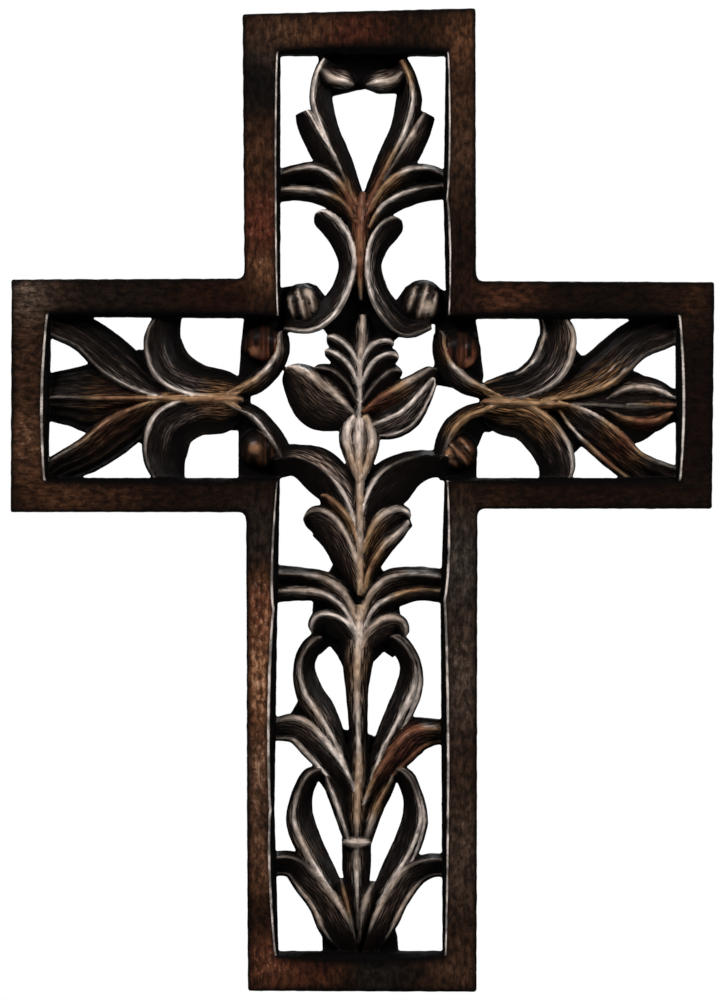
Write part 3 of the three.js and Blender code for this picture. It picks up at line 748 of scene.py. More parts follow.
def marked_dome(build, cuts):
    """A round dome of radius 1 that faces the front, with the marks of its gouge cuts."""
    sphere = build.node("GeometryNodeMeshUVSphere", BALL_SEGMENTS, BALL_RINGS, 1.0)
    turned = build.node("GeometryNodeTransform", sphere, named={"Rotation": (math.pi / 2, 0, 0)})
    spot = build.node("GeometryNodeInputPosition")
    x, y = (build.node("ShaderNodeSeparateXYZ", spot, out=i) for i in range(2))
    wave = build.math("COSINE", build.times(x, build.times(cuts, math.pi / 2)))
    trough = build.math("MULTIPLY_ADD", wave, -0.5, 0.5)
    front = build.smooth(y, *BALL_FRONT)
    streak = build.times(build.smooth(trough, STREAK_CREST, 0.0), build.smooth(y, *STREAK_FRONT))
    marked = build.keep(turned, "trough", build.times(trough, front))
    marked = build.keep(marked, "streak", streak)
    marked = build.keep(marked, "front", front)
    marked = build.keep(marked, "behind", build.math("GREATER_THAN", y, POST_STARTS))
    return build.keep(marked, "dome", spot, "FLOAT_VECTOR")


def ball_finish(build):
    """The finish of a ball: streaks on the crests, a body colour lighter towards the bottom, and one
    painted highlight.
    """
    is_cut = build.math("GREATER_THAN", build.read("cut"), LEAST_CUT)
    streaks = build.times(build.read("streak"), is_cut)
    dome = build.read("dome", "FLOAT_VECTOR")
    up = build.node("ShaderNodeSeparateXYZ", dome, out=2)
    low_half = build.times(build.read("front"), build.smooth(up, *LOW_HALF))
    body = build.times(build.read("body"), low_half)
    # A painted highlight: a light spot painted round one place on the dome.
    away = build.vector("LENGTH", build.vector("SUBTRACT", dome, build.read("painted_highlight", "FLOAT_VECTOR")))
    painted_highlight = build.smooth(away, *PAINTED_HIGHLIGHT)
    rub = build.math("MAXIMUM", build.times(streaks, build.read("rub")), painted_highlight)
    return build.node("FunctionNodeCombineColor", rub, body, build.read("warm"), 1.0)


def scroll_balls_tree():
    """Points in, carved balls on posts out."""
    build, given = geometry_tree("scroll balls", {
        "Points": ("NodeSocketGeometry", None),
        "Cuts": ("NodeSocketFloat", 7.5),
    })
    dome = marked_dome(build, given["Cuts"])
    radius = build.read("radius")
    rotation = build.node("ShaderNodeCombineXYZ", 0.0, build.read("turn"), 0.0)
    placed = build.node("GeometryNodeInstanceOnPoints", given["Points"],
                        named={"Instance": dome, "Rotation": rotation, "Scale": radius})
    real = build.node("GeometryNodeRealizeInstances", placed)
    depth = build.times(build.read("trough"), build.read("cut"))
    sunk = build.times(depth, radius)
    post = build.times(build.read("behind"), build.times(radius, POST_LENGTH))
    moved = build.node("ShaderNodeCombineXYZ", 0.0, build.plus(sunk, post), 0.0)
    carved = build.node("GeometryNodeSetPosition", real, named={"Offset": moved})
    done = build.keep(carved, "finish", ball_finish(build), "FLOAT_COLOR")
    net = build.vector("MULTIPLY", build.read("dome", "FLOAT_VECTOR"), BALL_NET)
    done = build.keep(done, "blade", net, "FLOAT_VECTOR")
    finish_tree(build, build.keep(done, "worn", BALL_WORN))
    return build.tree


scroll_balls = applied(ball_points, scroll_balls_tree(), "scroll_balls")
print("scroll balls:", len(scroll_balls.data.polygons), "faces")

# %% [markdown]
# Three marks travel on the points of every part, for the finish: the shares of the finish, the net of
# distances, and the width of the wear. Parts made in plain mesh code get them from the helper below.

# %% The marks on the points
MARKS = {
    "finish": ("FLOAT_COLOR", "color", 4),
    "blade": ("FLOAT_VECTOR", "vector", 3),
    "worn": ("FLOAT", "value", 1),
}


def mark(mesh, name, values):
    """Stores one mark on the points of a mesh."""
    kind, key, _ = MARKS[name]
    layer = mesh.attributes.new(name, kind, "POINT")
    layer.data.foreach_set(key, np.array(values, dtype=np.float32).ravel())


def marks_of(mesh, name):
    """Reads one mark back, as a row for each point."""
    _, key, size = MARKS[name]
    values = np.zeros(size * len(mesh.vertices), dtype=np.float32)
    mesh.attributes[name].data.foreach_get(key, values)
    return values.reshape(-1, size)


print("marks:", ", ".join(MARKS))

# %% [markdown]
# The bars are a ring that follows the outline of the cross. Each station of the ring pairs a corner of
# the outline with a corner of the opening. The outer corners are rounded off a little, and the hollow
# corners at the crossing have a wider curve, as the saw leaves them.

# %% The path of the bars
STATIONS = [
    ([242.5, 14], [280, 54]), ([475.5, 8], [446, 54.5]), ([475.8, 180], [444, 200]),
    ([476, 281], [447, 318]), ([714.5, 282], [677, 318]), ([712, 508.5], [677, 478]),
    ([477.5, 508.5], [445, 478]), ([477.3, 600], [441, 600]), ([476.5, 992], [443, 953]),
    ([248, 991], [278, 953]), ([247, 810], [274, 810]), ([246.5, 610], [277, 610]),
    ([246, 512], [279.5, 478]), ([10.5, 512], [47, 478]), ([11.5, 279.5], [50, 316]),
    ([244.5, 278.5], [280, 318]),
]
BAR_STEP = 2.0 * MM
FILLET = 3.4 * MM
ROUNDING = 1.0 * MM
FILLET_POINTS = 6
SHARP_TURN = 0.5


def turned_corner(before, corner, after):
    """The corner as a short curve: wide where the outline is hollow, tight where it stands out."""
    ahead = (corner - before) / np.linalg.norm(corner - before)
    onwards = (after - corner) / np.linalg.norm(after - corner)
    turn = ahead[0] * onwards[1] - ahead[1] * onwards[0]
    if abs(turn) < SHARP_TURN:
        return [corner]
    reach = FILLET if turn > 0 else ROUNDING
    start, end = corner - reach * ahead, corner + reach * onwards
    shares = np.linspace(0, 1, FILLET_POINTS)
    return [(1 - t) ** 2 * start + 2 * t * (1 - t) * corner + t ** 2 * end for t in shares]


def bar_path():
    """Rows of outer place, inner place, share along the bar and whether the bar is upright."""
    outers = [place(*outer) for outer, _ in STATIONS]
    inners = [place(*inner) for _, inner in STATIONS]
    count = len(STATIONS)
    corners = [turned_corner(outers[i - 1], outers[i], outers[(i + 1) % count]) for i in range(count)]
    path = []
    for i in range(count):
        start, end = corners[i][-1], corners[(i + 1) % count][0]
        inner, next_inner = inners[i], inners[(i + 1) % count]
        upright = abs(end[0] - start[0]) < abs(end[1] - start[1])
        path += [(outer, inner, 0.0, False) for outer in corners[i][:-1]]
        for t in np.linspace(0, 1, round(np.linalg.norm(end - start) / BAR_STEP), endpoint=False):
            path.append((start + (end - start) * t, inner + (next_inner - inner) * t, t, upright))
    return path


print("rows along the bars:", len(bar_path()))

# %% [markdown]
# The stain didn't wear evenly. Over a dark ground, some places are rubbed through to brown, red or gold,
# and the left edge of the shaft is worn down to specks of bare wood. Each place is a column, a row and a
# reach on the pattern, how light it is, and how red, where 0 is a greyish brown.

# %% Where the stain on the bars is worn
BAR_LIGHT = 0.06
BAR_RED = 0.5
LEAST_LIGHT = 0.04
HUE_PULL = 4
WORN_PLACES = {
    "top_left": (285, 30, 42, 0.34, 0.35), "top_middle": (352, 34, 34, 0.27, 0.95),
    "top_right": (462, 36, 22, 0.4, 0.55), "upper_left_high": (260, 80, 34, -0.1, 0.0),
    "upper_left": (259, 150, 36, 0.24, 0.5), "upper_left_low": (259, 222, 34, 0.52, 0.95),
    "upper_left_foot": (262, 272, 20, 0.45, 0.4), "upper_right_top": (460, 80, 40, 0.16, 0.4),
    "upper_right": (458, 150, 50, 0.24, 0.3), "left_corner": (26, 294, 30, 0.7, 0.1),
    "left_top": (110, 296, 50, 0.02, 0.2), "left_top_inner": (215, 296, 30, 0.04, 0.9),
    "left_end": (27, 360, 30, 0.2, 0.35), "left_end_low": (27, 440, 40, 0.5, 0.35),
    "left_foot_corner": (58, 497, 30, 0.25, 0.6), "left_foot": (110, 496, 34, 0.15, 0.5),
    "right_top_inner": (508, 296, 28, 0.3, 0.75), "right_top": (595, 298, 40, -0.08, 0.5),
    "right_corner": (690, 300, 24, 0.1, 0.6), "right_foot": (575, 493, 60, 0.0, 0.8),
    "right_end": (697, 400, 60, -0.06, 0.8), "shaft_left_dark": (260, 535, 36, 0.1, 0.1),
    "shaft_left_high": (262, 606, 30, 0.8, 0.8), "shaft_left": (262, 675, 48, 1.3, 0.55),
    "shaft_left_specks": (254, 765, 34, 0.8, 0.3), "shaft_left_low": (256, 822, 34, 0.45, 0.3),
    "shaft_left_gold": (262, 868, 26, 0.6, 0.4), "foot_left": (272, 965, 30, 0.65, 0.8),
    "foot_left_inner": (325, 968, 22, 0.2, 0.9), "foot_middle": (375, 970, 30, 0.05, 0.0),
    "foot_right": (455, 968, 26, 0.3, 0.3), "shaft_right_high": (462, 560, 50, 0.42, 0.0),
    "shaft_right": (462, 680, 60, 0.5, 0.1), "shaft_right_low": (462, 850, 70, 0.42, 0.15),
}


def wear_at(x, z):
    """How light and how red the face of a bar is at a place."""
    light, red, weights = BAR_LIGHT, BAR_RED, 1.0
    for column, row, reach, lightness, redness in WORN_PLACES.values():
        away = place(column, row) - (x, z)
        near = math.exp(-(away @ away) / (reach * SQUARE) ** 2)
        light += near * lightness
        red += HUE_PULL * near * redness
        weights += HUE_PULL * near
    return max(light, LEAST_LIGHT), red / weights


print("wear on the left of the shaft:", wear_at(*place(262, 675)))

# %% [markdown]
# The section across a bar runs from the back, up the outer side, over the flat face, down the chamfer at
# the opening, and back. The chamfer is cut by hand, so it is widest half way along a bar. It is stained
# black, and its upper arris is rubbed to a thin light line along the upright bars.

# %% The bars
ARRIS = 0.6 * MM
CHAMFER_DEPTH = 2 * MM
CHAMFER_AT_CORNERS = 1.3 * MM
CHAMFER_SWELL = 1.5 * MM
SWELL_POWER = 0.6
OUTER_FADE = 3.0 * MM
INNER_FADE = 2.2 * MM
SHADED_FADE = 4.5 * MM
FACE_ROWS = 14
LINE_WIDTH = 0.75 * MM


def bar_section(width, chamfer):
    """The section across a bar, as rows of distance across, height and distance from the arris."""
    arris = width - chamfer
    rows = [(0, 0), (0, THICKNESS - ARRIS), (ARRIS, THICKNESS)]
    rows += [(across, THICKNESS) for across in np.linspace(2 * ARRIS, arris - ARRIS, FACE_ROWS)]
    rows += [(arris, THICKNESS), (width, THICKNESS - CHAMFER_DEPTH), (width, 0)]
    return [(across, height, math.hypot(across - arris, THICKNESS - height)) for across, height in rows]


def bars_mesh():
    """The closed ring of bars."""
    points, finish, nets, faces = [], [], [], []
    path = bar_path()
    walked = 0.0
    for outer, inner, along, upright in path:
        width = np.linalg.norm(inner - outer)
        chamfer = CHAMFER_AT_CORNERS + CHAMFER_SWELL * math.sin(math.pi * along) ** SWELL_POWER
        walked += BAR_STEP
        for across, height, from_arris in bar_section(width, chamfer):
            x, z = outer + (inner - outer) * across / width
            light, red = wear_at(x, z)
            inner_fade = INNER_FADE if upright else SHADED_FADE
            edge = np.clip(min(across / OUTER_FADE, (width - chamfer - across) / inner_fade), 0, 1)
            points.append((x, -height, z))
            finish.append((1.0 if upright else 0.0, light * edge * edge * (3 - 2 * edge), red, 0.0))
            nets.append((across, walked, from_arris))
    size = len(points) // len(path)
    for i in range(len(path)):
        for k in range(size):
            a, b = i * size + k, i * size + (k + 1) % size
            faces.append((a, b, (b + size) % len(points), (a + size) % len(points)))
    mesh = bpy.data.meshes.new("bars")
    mesh.from_pydata(points, [], faces)
    marks = {"finish": finish, "blade": nets, "worn": [LINE_WIDTH] * len(points)}
    for name, values in marks.items():
        mark(mesh, name, values)
    return mesh


bars = new_object("bars", bars_mesh())
print("bars:", len(bars.data.polygons), "faces")

# %% [markdown]
# Between the blades some of the board is left as low ground, which the carver stains black. It is made of
# flat-topped patches.

# %% The low ground
GROUND = 8 * MM
GROUND_FINISH = (0, 0, 0.4, 1)
GROUNDS = {
    "under_top_bar": [[317, 46], [405, 46], [400, 92], [378, 92], [365, 87], [350, 90], [330, 95],
                      [320, 70]],
    "arm_root_left": [[276, 172], [330, 178], [345, 195], [330, 200], [276, 196]],
    "arm_root_right": [[395, 180], [449, 178], [449, 194], [400, 200]],
    "behind_scrolls": [[338, 208], [380, 205], [371, 262], [350, 262], [345, 236]],
    "under_scrolls": [[350, 260], [371, 260], [386, 290], [404, 332], [388, 345], [330, 338], [322, 326],
                      [338, 290]],
    "upper_ball_left": [[276, 288], [308, 282], [317, 285], [328, 300], [328, 328], [276, 324]],
    "upper_ball_right": [[450, 291], [444, 290], [430, 281], [418, 280], [406, 286], [397, 299],
                         [392, 326], [450, 322]],
    "corner_upper_left": [[244.5, 312], [286, 312], [286, 345], [276, 366], [252, 384], [238, 382],
                          [241, 340]],
    "corner_upper_right": [[436, 312], [475, 314], [481, 350], [484, 376], [480, 392], [434, 384]],
    "corner_lower_left": [[238, 420], [262, 418], [286, 448], [286, 476], [238, 484]],
    "corner_lower_right": [[435, 452], [452, 428], [466, 412], [486, 416], [484, 432], [477, 448],
                           [477, 484], [440, 480]],
    "left_arm": [[95, 372], [138, 349], [150, 350], [172, 384], [250, 388], [250, 430], [230, 430],
                 [172, 414], [145, 446], [135, 440], [100, 430]],
    "right_arm": [[480, 388], [535, 390], [574, 345], [582, 355], [594, 354], [634, 370], [634, 445],
                  [594, 454], [582, 446], [576, 452], [560, 434], [535, 408], [490, 432], [474, 430],
                  [480, 412]],
    "right_curl": [[396, 512], [405, 507], [413, 526], [407, 532], [395, 538]],
    "middle_shaft": [[336, 560], [377, 560], [398, 600], [405, 642], [393, 658], [384, 652], [374, 662],
                     [345, 672], [338, 657], [330, 646], [320, 655], [311, 642], [313, 600]],
    "lower_shaft": [[340, 730], [372, 736], [405, 765], [392, 786], [376, 830], [342, 830], [326, 792],
                    [310, 770]],
    "lyre_roots": [[299, 700], [306, 700], [320, 740], [286, 722]],
    "foot": [[330, 925], [393, 925], [397.5, 938], [399, 960], [323, 960], [322, 938]],
}


def grounds_mesh():
    """Every patch of low ground as a closed flat-topped block."""
    points, faces = [], []
    for patch in GROUNDS.values():
        first, size = len(points), len(patch)
        corners = [place(column, row) for column, row in patch]
        points += [(x, -GROUND, z) for x, z in corners] + [(x, 0, z) for x, z in corners]
        faces.append(tuple(range(first, first + size)))
        faces.append(tuple(reversed(range(first + size, first + 2 * size))))
        for i in range(size):
            j = (i + 1) % size
            faces.append((first + i, first + size + i, first + size + j, first + j))
    mesh = bpy.data.meshes.new("low_ground")
    mesh.from_pydata(points, [], faces)
    marks = {"finish": GROUND_FINISH, "blade": (0, 0, 0), "worn": 0.0}
    for name, value in marks.items():
        mark(mesh, name, [value] * len(points))
    return mesh


low_ground = new_object("low_ground", grounds_mesh())
print("patches of low ground:", len(GROUNDS))

# %% [markdown]
# All these closed shapes now become one carving. A voxel remesh keeps only the outer skin of everything
# that overlaps, which is just what a gouge leaves, and gives an even net of small faces. A light
# smoothing takes the voxel steps away without losing the ridges.

# %% Join and remesh
VOXEL = 0.45 * MM
SMOOTHING = 0.5
SMOOTH_ROUNDS = 2


def joined(name, parts):
    """All parts as one new mesh, with the marks kept."""
    points, faces = [], []
    for part in parts:
        first = len(points)
        points += [tuple(vertex.co) for vertex in part.data.vertices]
        faces += [tuple(first + i for i in polygon.vertices) for polygon in part.data.polygons]
    mesh = bpy.data.meshes.new(name)
    mesh.from_pydata(points, [], faces)
    for key in MARKS:
        mark(mesh, key, np.vstack([marks_of(part.data, key) for part in parts]))
    return new_object(name, mesh)


def remeshed(source, name):
    """The outer skin of the source, as an even net of faces."""
    remesh = source.modifiers.new("skin", "REMESH")
    remesh.mode = "VOXEL"
    remesh.voxel_size = VOXEL
    remesh.use_smooth_shade = True
    smooth = source.modifiers.new("soften", "SMOOTH")
    smooth.factor = SMOOTHING
    smooth.iterations = SMOOTH_ROUNDS
    return taken(source, name)


raw_carving = joined("raw_carving", [bars, low_ground, leaf_blades, scroll_balls])
fine_carving = remeshed(raw_carving, "fine_carving")
print("remeshed:", len(fine_carving.data.vertices), "vertices")

# %% [markdown]
# The board was planed flat behind, and nothing reaches past it in front. Then the hand shows: the surface
# waves a little where the gouge went deeper, which is noise along the normals. Last, faces are merged
# where the surface is nearly flat, so that the whole piece stays under its limit of triangles.

# %% Flat back and hand-carved unevenness
WAVE_HEIGHT = 0.13 * MM
WAVE_RANGE = 1.5
WAVE_LENGTH = 7 * MM
FINE_LENGTH = 0.35 * WAVE_LENGTH
FINE_SHARE = 0.3
WAVES = 14
PITCHES = (0.7, 1.6)
BAR_WAVE = 0.35
BACK_WITHIN = 0.45 * MM


def points_of(mesh):
    """The mesh's points as rows of x, y and z."""
    flat = np.zeros(3 * len(mesh.vertices), dtype=np.float32)
    mesh.vertices.foreach_get("co", flat)
    return flat.reshape(-1, 3)


def put_points(mesh, points):
    """Moves the points of the mesh, but none of them out of the box of the solid."""
    inside = np.clip(points, np.array(CAD_LOW), np.array(CAD_HIGH))
    mesh.vertices.foreach_set("co", inside.astype(np.float32).ravel())
    mesh.update()


def soft_noise(points, length, seed):
    """Smooth noise around 0: a sum of waves that run in many directions."""
    draw = np.random.default_rng(seed)
    total = np.zeros(len(points))
    for _ in range(WAVES):
        heading = draw.normal(size=3)
        heading *= draw.uniform(*PITCHES) * 2 * math.pi / (length * np.linalg.norm(heading))
        total += np.sin(points @ heading + draw.uniform(0, 2 * math.pi))
    return total / WAVES ** 0.5


def worked_by_hand(mesh):
    """Waves the surface a little and keeps it inside the board."""
    points = points_of(mesh)
    normals = np.zeros(3 * len(mesh.vertices), dtype=np.float32)
    mesh.vertices.foreach_get("normal", normals)
    wave = soft_noise(points, WAVE_LENGTH, seed=5)
    wave += FINE_SHARE * soft_noise(points, FINE_LENGTH, seed=6)
    carved = np.where(points[:, 1] < -CREST - RAISED, BAR_WAVE, 1.0)
    points = points + normals.reshape(-1, 3) * (carved * wave * WAVE_HEIGHT / WAVE_RANGE)[:, None]
    points[points[:, 1] > -BACK_WITHIN, 1] = 0
    put_points(mesh, points)


worked_by_hand(fine_carving.data)
print("wave of the surface:", round(WAVE_HEIGHT / MM, 2), "mm")

# %% Fewer faces
MOST_TRIANGLES = 160000
LONGEST_EDGE = 2.2 * MM
SPLIT_ROUNDS = 5
SHOWN_DEPTH = 3 * MM


def lighter(source, name, triangles):
    """A copy of the source with its flattest faces merged, down to a number of triangles."""
    source.data.calc_loop_triangles()
    decimate = source.modifiers.new("lighten", "DECIMATE")
    decimate.ratio = triangles / len(source.data.loop_triangles)
    return taken(source, name)


def split_long_edges(mesh):
    """Cuts the long edges on the front of the bars, so that colour can change across a flat face."""
    net = bmesh.new()
    net.from_mesh(mesh)
    for _ in range(SPLIT_ROUNDS):
        long = [edge for edge in net.edges if edge.calc_length() > LONGEST_EDGE
                and max(vert.co.y for vert in edge.verts) < SHOWN_DEPTH - THICKNESS]
        if not long:
            break
        bmesh.ops.subdivide_edges(net, edges=long, cuts=1)
        bmesh.ops.triangulate(net, faces=[face for face in net.faces if len(face.verts) > 3])
    net.to_mesh(mesh)
    net.free()


light_carving = lighter(fine_carving, "light_carving", MOST_TRIANGLES)
print("triangles after merging:", len(light_carving.data.polygons))
split_long_edges(light_carving.data)
put_points(light_carving.data, points_of(light_carving.data))
light_carving.data.calc_loop_triangles()
print("triangles:", len(light_carving.data.loop_triangles))

# %% [markdown]
# The remesh forgot where the ridges were. A third tree looks up the nearest place on the unmerged blades
# and bars for every point, and brings their marks back.

# %% Bring the finish back
def carry_finish_tree():
    """Copies the marks from the nearest place on another object."""
    build, given = geometry_tree("carry the finish", {
        "Carving": ("NodeSocketGeometry", None),
        "From": ("NodeSocketObject", None),
    })
    donor = build.node("GeometryNodeObjectInfo", given["From"], out="Geometry")
    carved = given["Carving"]
    for name, (kind, _, _) in MARKS.items():
        nearest = build.node("GeometryNodeSampleNearestSurface", donor, build.read(name, kind),
                             data_type=kind)
        carved = build.keep(carved, name, nearest, kind)
    finish_tree(build, carved)
    return build.tree


carving = applied(light_carving, carry_finish_tree(), "carved_cross_surface", From=raw_carving)
for helper in (leaf_spines, leaf_blades, ball_points, scroll_balls, bars, low_ground, raw_carving,
               fine_carving, light_carving):
    bpy.data.objects.remove(helper)
carving.data.shade_smooth()
print("finish carried to", len(carving.data.vertices), "points")

# %% [markdown]
# Materials. The bars and the leaves are the same stained hardwood, but the bars show the grain and a
# mottled red-brown stain, and the leaves show black cuts and rubbed crests. The flat back and the outer
# sides have a plain brown stain. Effects that both finishes use are node groups with named inputs.

# %% Node groups for grain, mottling and rubbing
def shader_group(name, inputs, outputs):
    """A shader node group with named sockets, as its builder, inputs and output node."""
    group = bpy.data.node_groups.new(name, "ShaderNodeTree")
    for label, (kind, default) in inputs.items():
        group.interface.new_socket(label, in_out="INPUT", socket_type=kind).default_value = default
    for label, kind in outputs.items():
        group.interface.new_socket(label, in_out="OUTPUT", socket_type=kind)
    source = group.nodes.new("NodeGroupInput")
    end = group.nodes.new("NodeGroupOutput")
    return Tree(group), {label: source.outputs[label] for label in inputs}, end


def noise(build, vector, detail, **values):
    """A noise texture of one blob for each unit of the vector, as a value."""
    named = {"Vector": vector, "Scale": 1.0, "Detail": detail, **values}
    return build.node("ShaderNodeTexNoise", named=named)


def clouds(build, size, detail, **values):
    """Noise in blobs of one size all over the piece."""
    spot = build.node("ShaderNodeTexCoord", out="Object")
    return noise(build, build.vector("SCALE", spot, build.math("DIVIDE", 1.0, size)), detail, **values)


FLOAT = "NodeSocketFloat"
UPRIGHT_LEFT = place(247, 0)[0]
UPRIGHT_RIGHT = place(476, 0)[0]
PORES_SCALE, PORES_SHOW = 2.7, (0.36, 0.5)
MOTTLE_RANGE = 0.3
GAPS_SHOW = (0.35, 0.65, 1.0, 0.0)


def grain_group():
    """Long fibres that run up the upright and along the arms, and the pores between them."""
    build, given, end = shader_group("wood grain", {
        "Fibre Width": (FLOAT, 0.9 * MM), "Fibre Length": (FLOAT, 16 * MM),
    }, {"Fibres": FLOAT, "Pores": FLOAT})
    spot = build.node("ShaderNodeTexCoord", out="Object")
    x, y, z = (build.node("ShaderNodeSeparateXYZ", spot, out=i) for i in range(3))
    right_of = build.math("GREATER_THAN", x, UPRIGHT_RIGHT)
    left_of = build.math("LESS_THAN", x, UPRIGHT_LEFT)
    beyond = build.math("MAXIMUM", left_of, right_of)
    lengthways = build.node("ShaderNodeMix", beyond, z, x, data_type="FLOAT")
    crossways = build.node("ShaderNodeMix", beyond, x, z, data_type="FLOAT")
    u = build.math("DIVIDE", lengthways, given["Fibre Length"])
    v = build.math("DIVIDE", crossways, given["Fibre Width"])
    w = build.math("DIVIDE", y, given["Fibre Width"])
    in_grain = build.node("ShaderNodeCombineXYZ", u, v, w)
    fibres = noise(build, in_grain, 4.0, Roughness=0.6, Distortion=0.3)
    pores = noise(build, in_grain, 2.0, Scale=PORES_SCALE)
    build.tree.links.new(fibres, end.inputs["Fibres"])
    build.tree.links.new(build.smooth(pores, *PORES_SHOW), end.inputs["Pores"])
    return build.tree


def mottle_group():
    """Patches where the stain took more or less, from 0 to 1."""
    build, given, end = shader_group("stain mottling", {
        "Patch Size": (FLOAT, 9 * MM), "Contrast": (FLOAT, 0.5),
    }, {"Patches": FLOAT})
    low = build.math("MULTIPLY_ADD", given["Contrast"], -MOTTLE_RANGE, 0.5)
    high = build.math("MULTIPLY_ADD", given["Contrast"], MOTTLE_RANGE, 0.5)
    blobs = clouds(build, given["Patch Size"], 5.0, Roughness=0.62)
    patches = build.node("ShaderNodeMapRange", blobs, low, high, 0.0, 1.0)
    build.tree.links.new(patches, end.inputs["Patches"])
    return build.tree


def rubbing_group():
    """Where the cloth wore through the stain: the crest, broken up by noise."""
    build, given, end = shader_group("rubbed crests", {
        "Crest": (FLOAT, 0.0), "Breakup": (FLOAT, 0.5), "Grain Size": (FLOAT, 1.5 * MM),
    }, {"Rubbed": FLOAT})
    blobs = clouds(build, given["Grain Size"], 3.0)
    gap = build.times(build.smooth(blobs, *GAPS_SHOW), given["Breakup"])
    worn = build.times(given["Crest"], build.minus(1, gap))
    build.tree.links.new(worn, end.inputs["Rubbed"])
    return build.tree


GROUPS = {"grain": grain_group(), "mottle": mottle_group(), "rubbing": rubbing_group()}
print("shader groups:", ", ".join(group.name for group in GROUPS.values()))

# %% [markdown]
# The two finishes of the wood read the marks from the points. On the leaves, streaks run along each blade
# by the blade's own net, as the gouge and the rubbing cloth did, and a worn line follows the ridge. The
# patches of the mottling come in with a factor and a number that is added, as in WASH_PATCHES.

# %% The colours of stain and wood
SHEEN = 0.015
WAX_ROUGHNESS = 0.22
STAIN_BLACK = (0.0020, 0.0017, 0.0016, 1)
STAIN_BROWN = (0.026, 0.014, 0.010, 1)
WORN_STAIN = ((0.25, 0.19, 0.165, 1), (0.26, 0.13, 0.055, 1), (0.15, 0.045, 0.022, 1))
BARE_WOOD = ((0.62, 0.53, 0.475, 1), (0.46, 0.28, 0.15, 1), (0.32, 0.13, 0.07, 1))
BAR_STAIN = ((0.060, 0.050, 0.040, 1), (0.110, 0.044, 0.020, 1), (0.105, 0.024, 0.013, 1))
BAR_WORN = ((0.26, 0.20, 0.15, 1), (0.32, 0.16, 0.085, 1), (0.28, 0.10, 0.06, 1))
SAWN_WOOD = ((0.014, 0.008, 0.006, 1), (0.105, 0.054, 0.030, 1))
print("stain and wood colours ready")

# %% What both finishes share
LINE_CORE = 0.35
SAWN_FIBRES, SAWN_PATCHES = (0.35, 0.65), (0.5, 0.5)
BACK_HEIGHTS = (0.2 * MM, 1.2 * MM)


def group_node(build, name, out, **inputs):
    """Places a shader node group with its own values."""
    made = build.tree.nodes.new("ShaderNodeGroup")
    made.node_tree = GROUPS[name]
    for label, value in inputs.items():
        build.fill(made.inputs[label.replace("_", " ")], value)
    return made.outputs[out]


def colour_mix(build, share, low, high):
    """A colour between two others."""
    return build.node("ShaderNodeMix", share, low, high, data_type="RGBA")


def hue(build, share, colours):
    """A colour between three, as the share runs from 0 to 1."""
    first, middle, last = colours
    lower = colour_mix(build, build.smooth(share, 0.0, 0.5), first, middle)
    return colour_mix(build, build.smooth(share, 0.5, 1.0), lower, last)


def start_material(material):
    """A material tree that has read the marks: rub, body, warm, the net as a vector, and worn."""
    material.use_nodes = True
    material.node_tree.nodes.clear()
    build = Tree(material.node_tree)
    read = {}
    for name, out in (("finish", "Color"), ("blade", "Vector"), ("worn", "Fac")):
        made = build.tree.nodes.new("ShaderNodeAttribute")
        made.attribute_name = name
        read[name] = made.outputs[out]
    rub, body, warm = (build.node("ShaderNodeSeparateColor", read["finish"], out=i) for i in range(3))
    return build, rub, body, warm, read["blade"], read["worn"]


def end_material(build, colour, roughness, coat, height, bump):
    """Feeds a Principled shader: satin wax over stained wood."""
    shader = build.tree.nodes.new("ShaderNodeBsdfPrincipled")
    shader.inputs["Specular IOR Level"].default_value = SHEEN
    shader.inputs["Coat Roughness"].default_value = WAX_ROUGHNESS
    build.fill(shader.inputs["Base Color"], colour)
    build.fill(shader.inputs["Roughness"], roughness)
    build.fill(shader.inputs["Coat Weight"], coat)
    relief = build.tree.nodes.new("ShaderNodeBump")
    relief.inputs["Strength"].default_value = 1.0
    relief.inputs["Distance"].default_value = bump
    build.fill(relief.inputs["Height"], height)
    build.fill(shader.inputs["Normal"], relief.outputs[0])
    end = build.tree.nodes.new("ShaderNodeOutputMaterial")
    build.tree.links.new(shader.outputs[0], end.inputs[0])


def height_share(build, low, high):
    """0 where the carving is as low as low over the back, 1 where it is as high as high."""
    spot = build.node("ShaderNodeTexCoord", out="Object")
    y = build.node("ShaderNodeSeparateXYZ", spot, out=1)
    return build.smooth(y, -low, -high)


def worn_line(build, net, width, ragged):
    """1 on the line where the net's distance is 0, down to 0 at the width, with a ragged edge."""
    distance = build.node("ShaderNodeSeparateXYZ", net, out=2)
    wander = build.times(build.minus(ragged, 0.5), width)
    distance = build.plus(distance, wander)
    return build.smooth(distance, build.times(width, LINE_CORE), width, 1.0, 0.0)


def plain_wood(build, share, colour):
    """Lays a plain brown stain, with the grain showing, over a share of the surface."""
    fibres = group_node(build, "grain", "Fibres", Fibre_Width=0.9 * MM, Fibre_Length=22 * MM)
    patches = group_node(build, "mottle", "Patches", Patch_Size=14 * MM, Contrast=0.7)
    uneven = build.math("MULTIPLY_ADD", patches, *SAWN_PATCHES)
    light = build.times(build.smooth(fibres, *SAWN_FIBRES), uneven)
    return colour_mix(build, share, colour, colour_mix(build, light, *SAWN_WOOD))


def back_share(build):
    """1 on the flat back of the board, 0 in front of it."""
    return build.minus(1, height_share(build, *BACK_HEIGHTS))


print("shared steps ready")

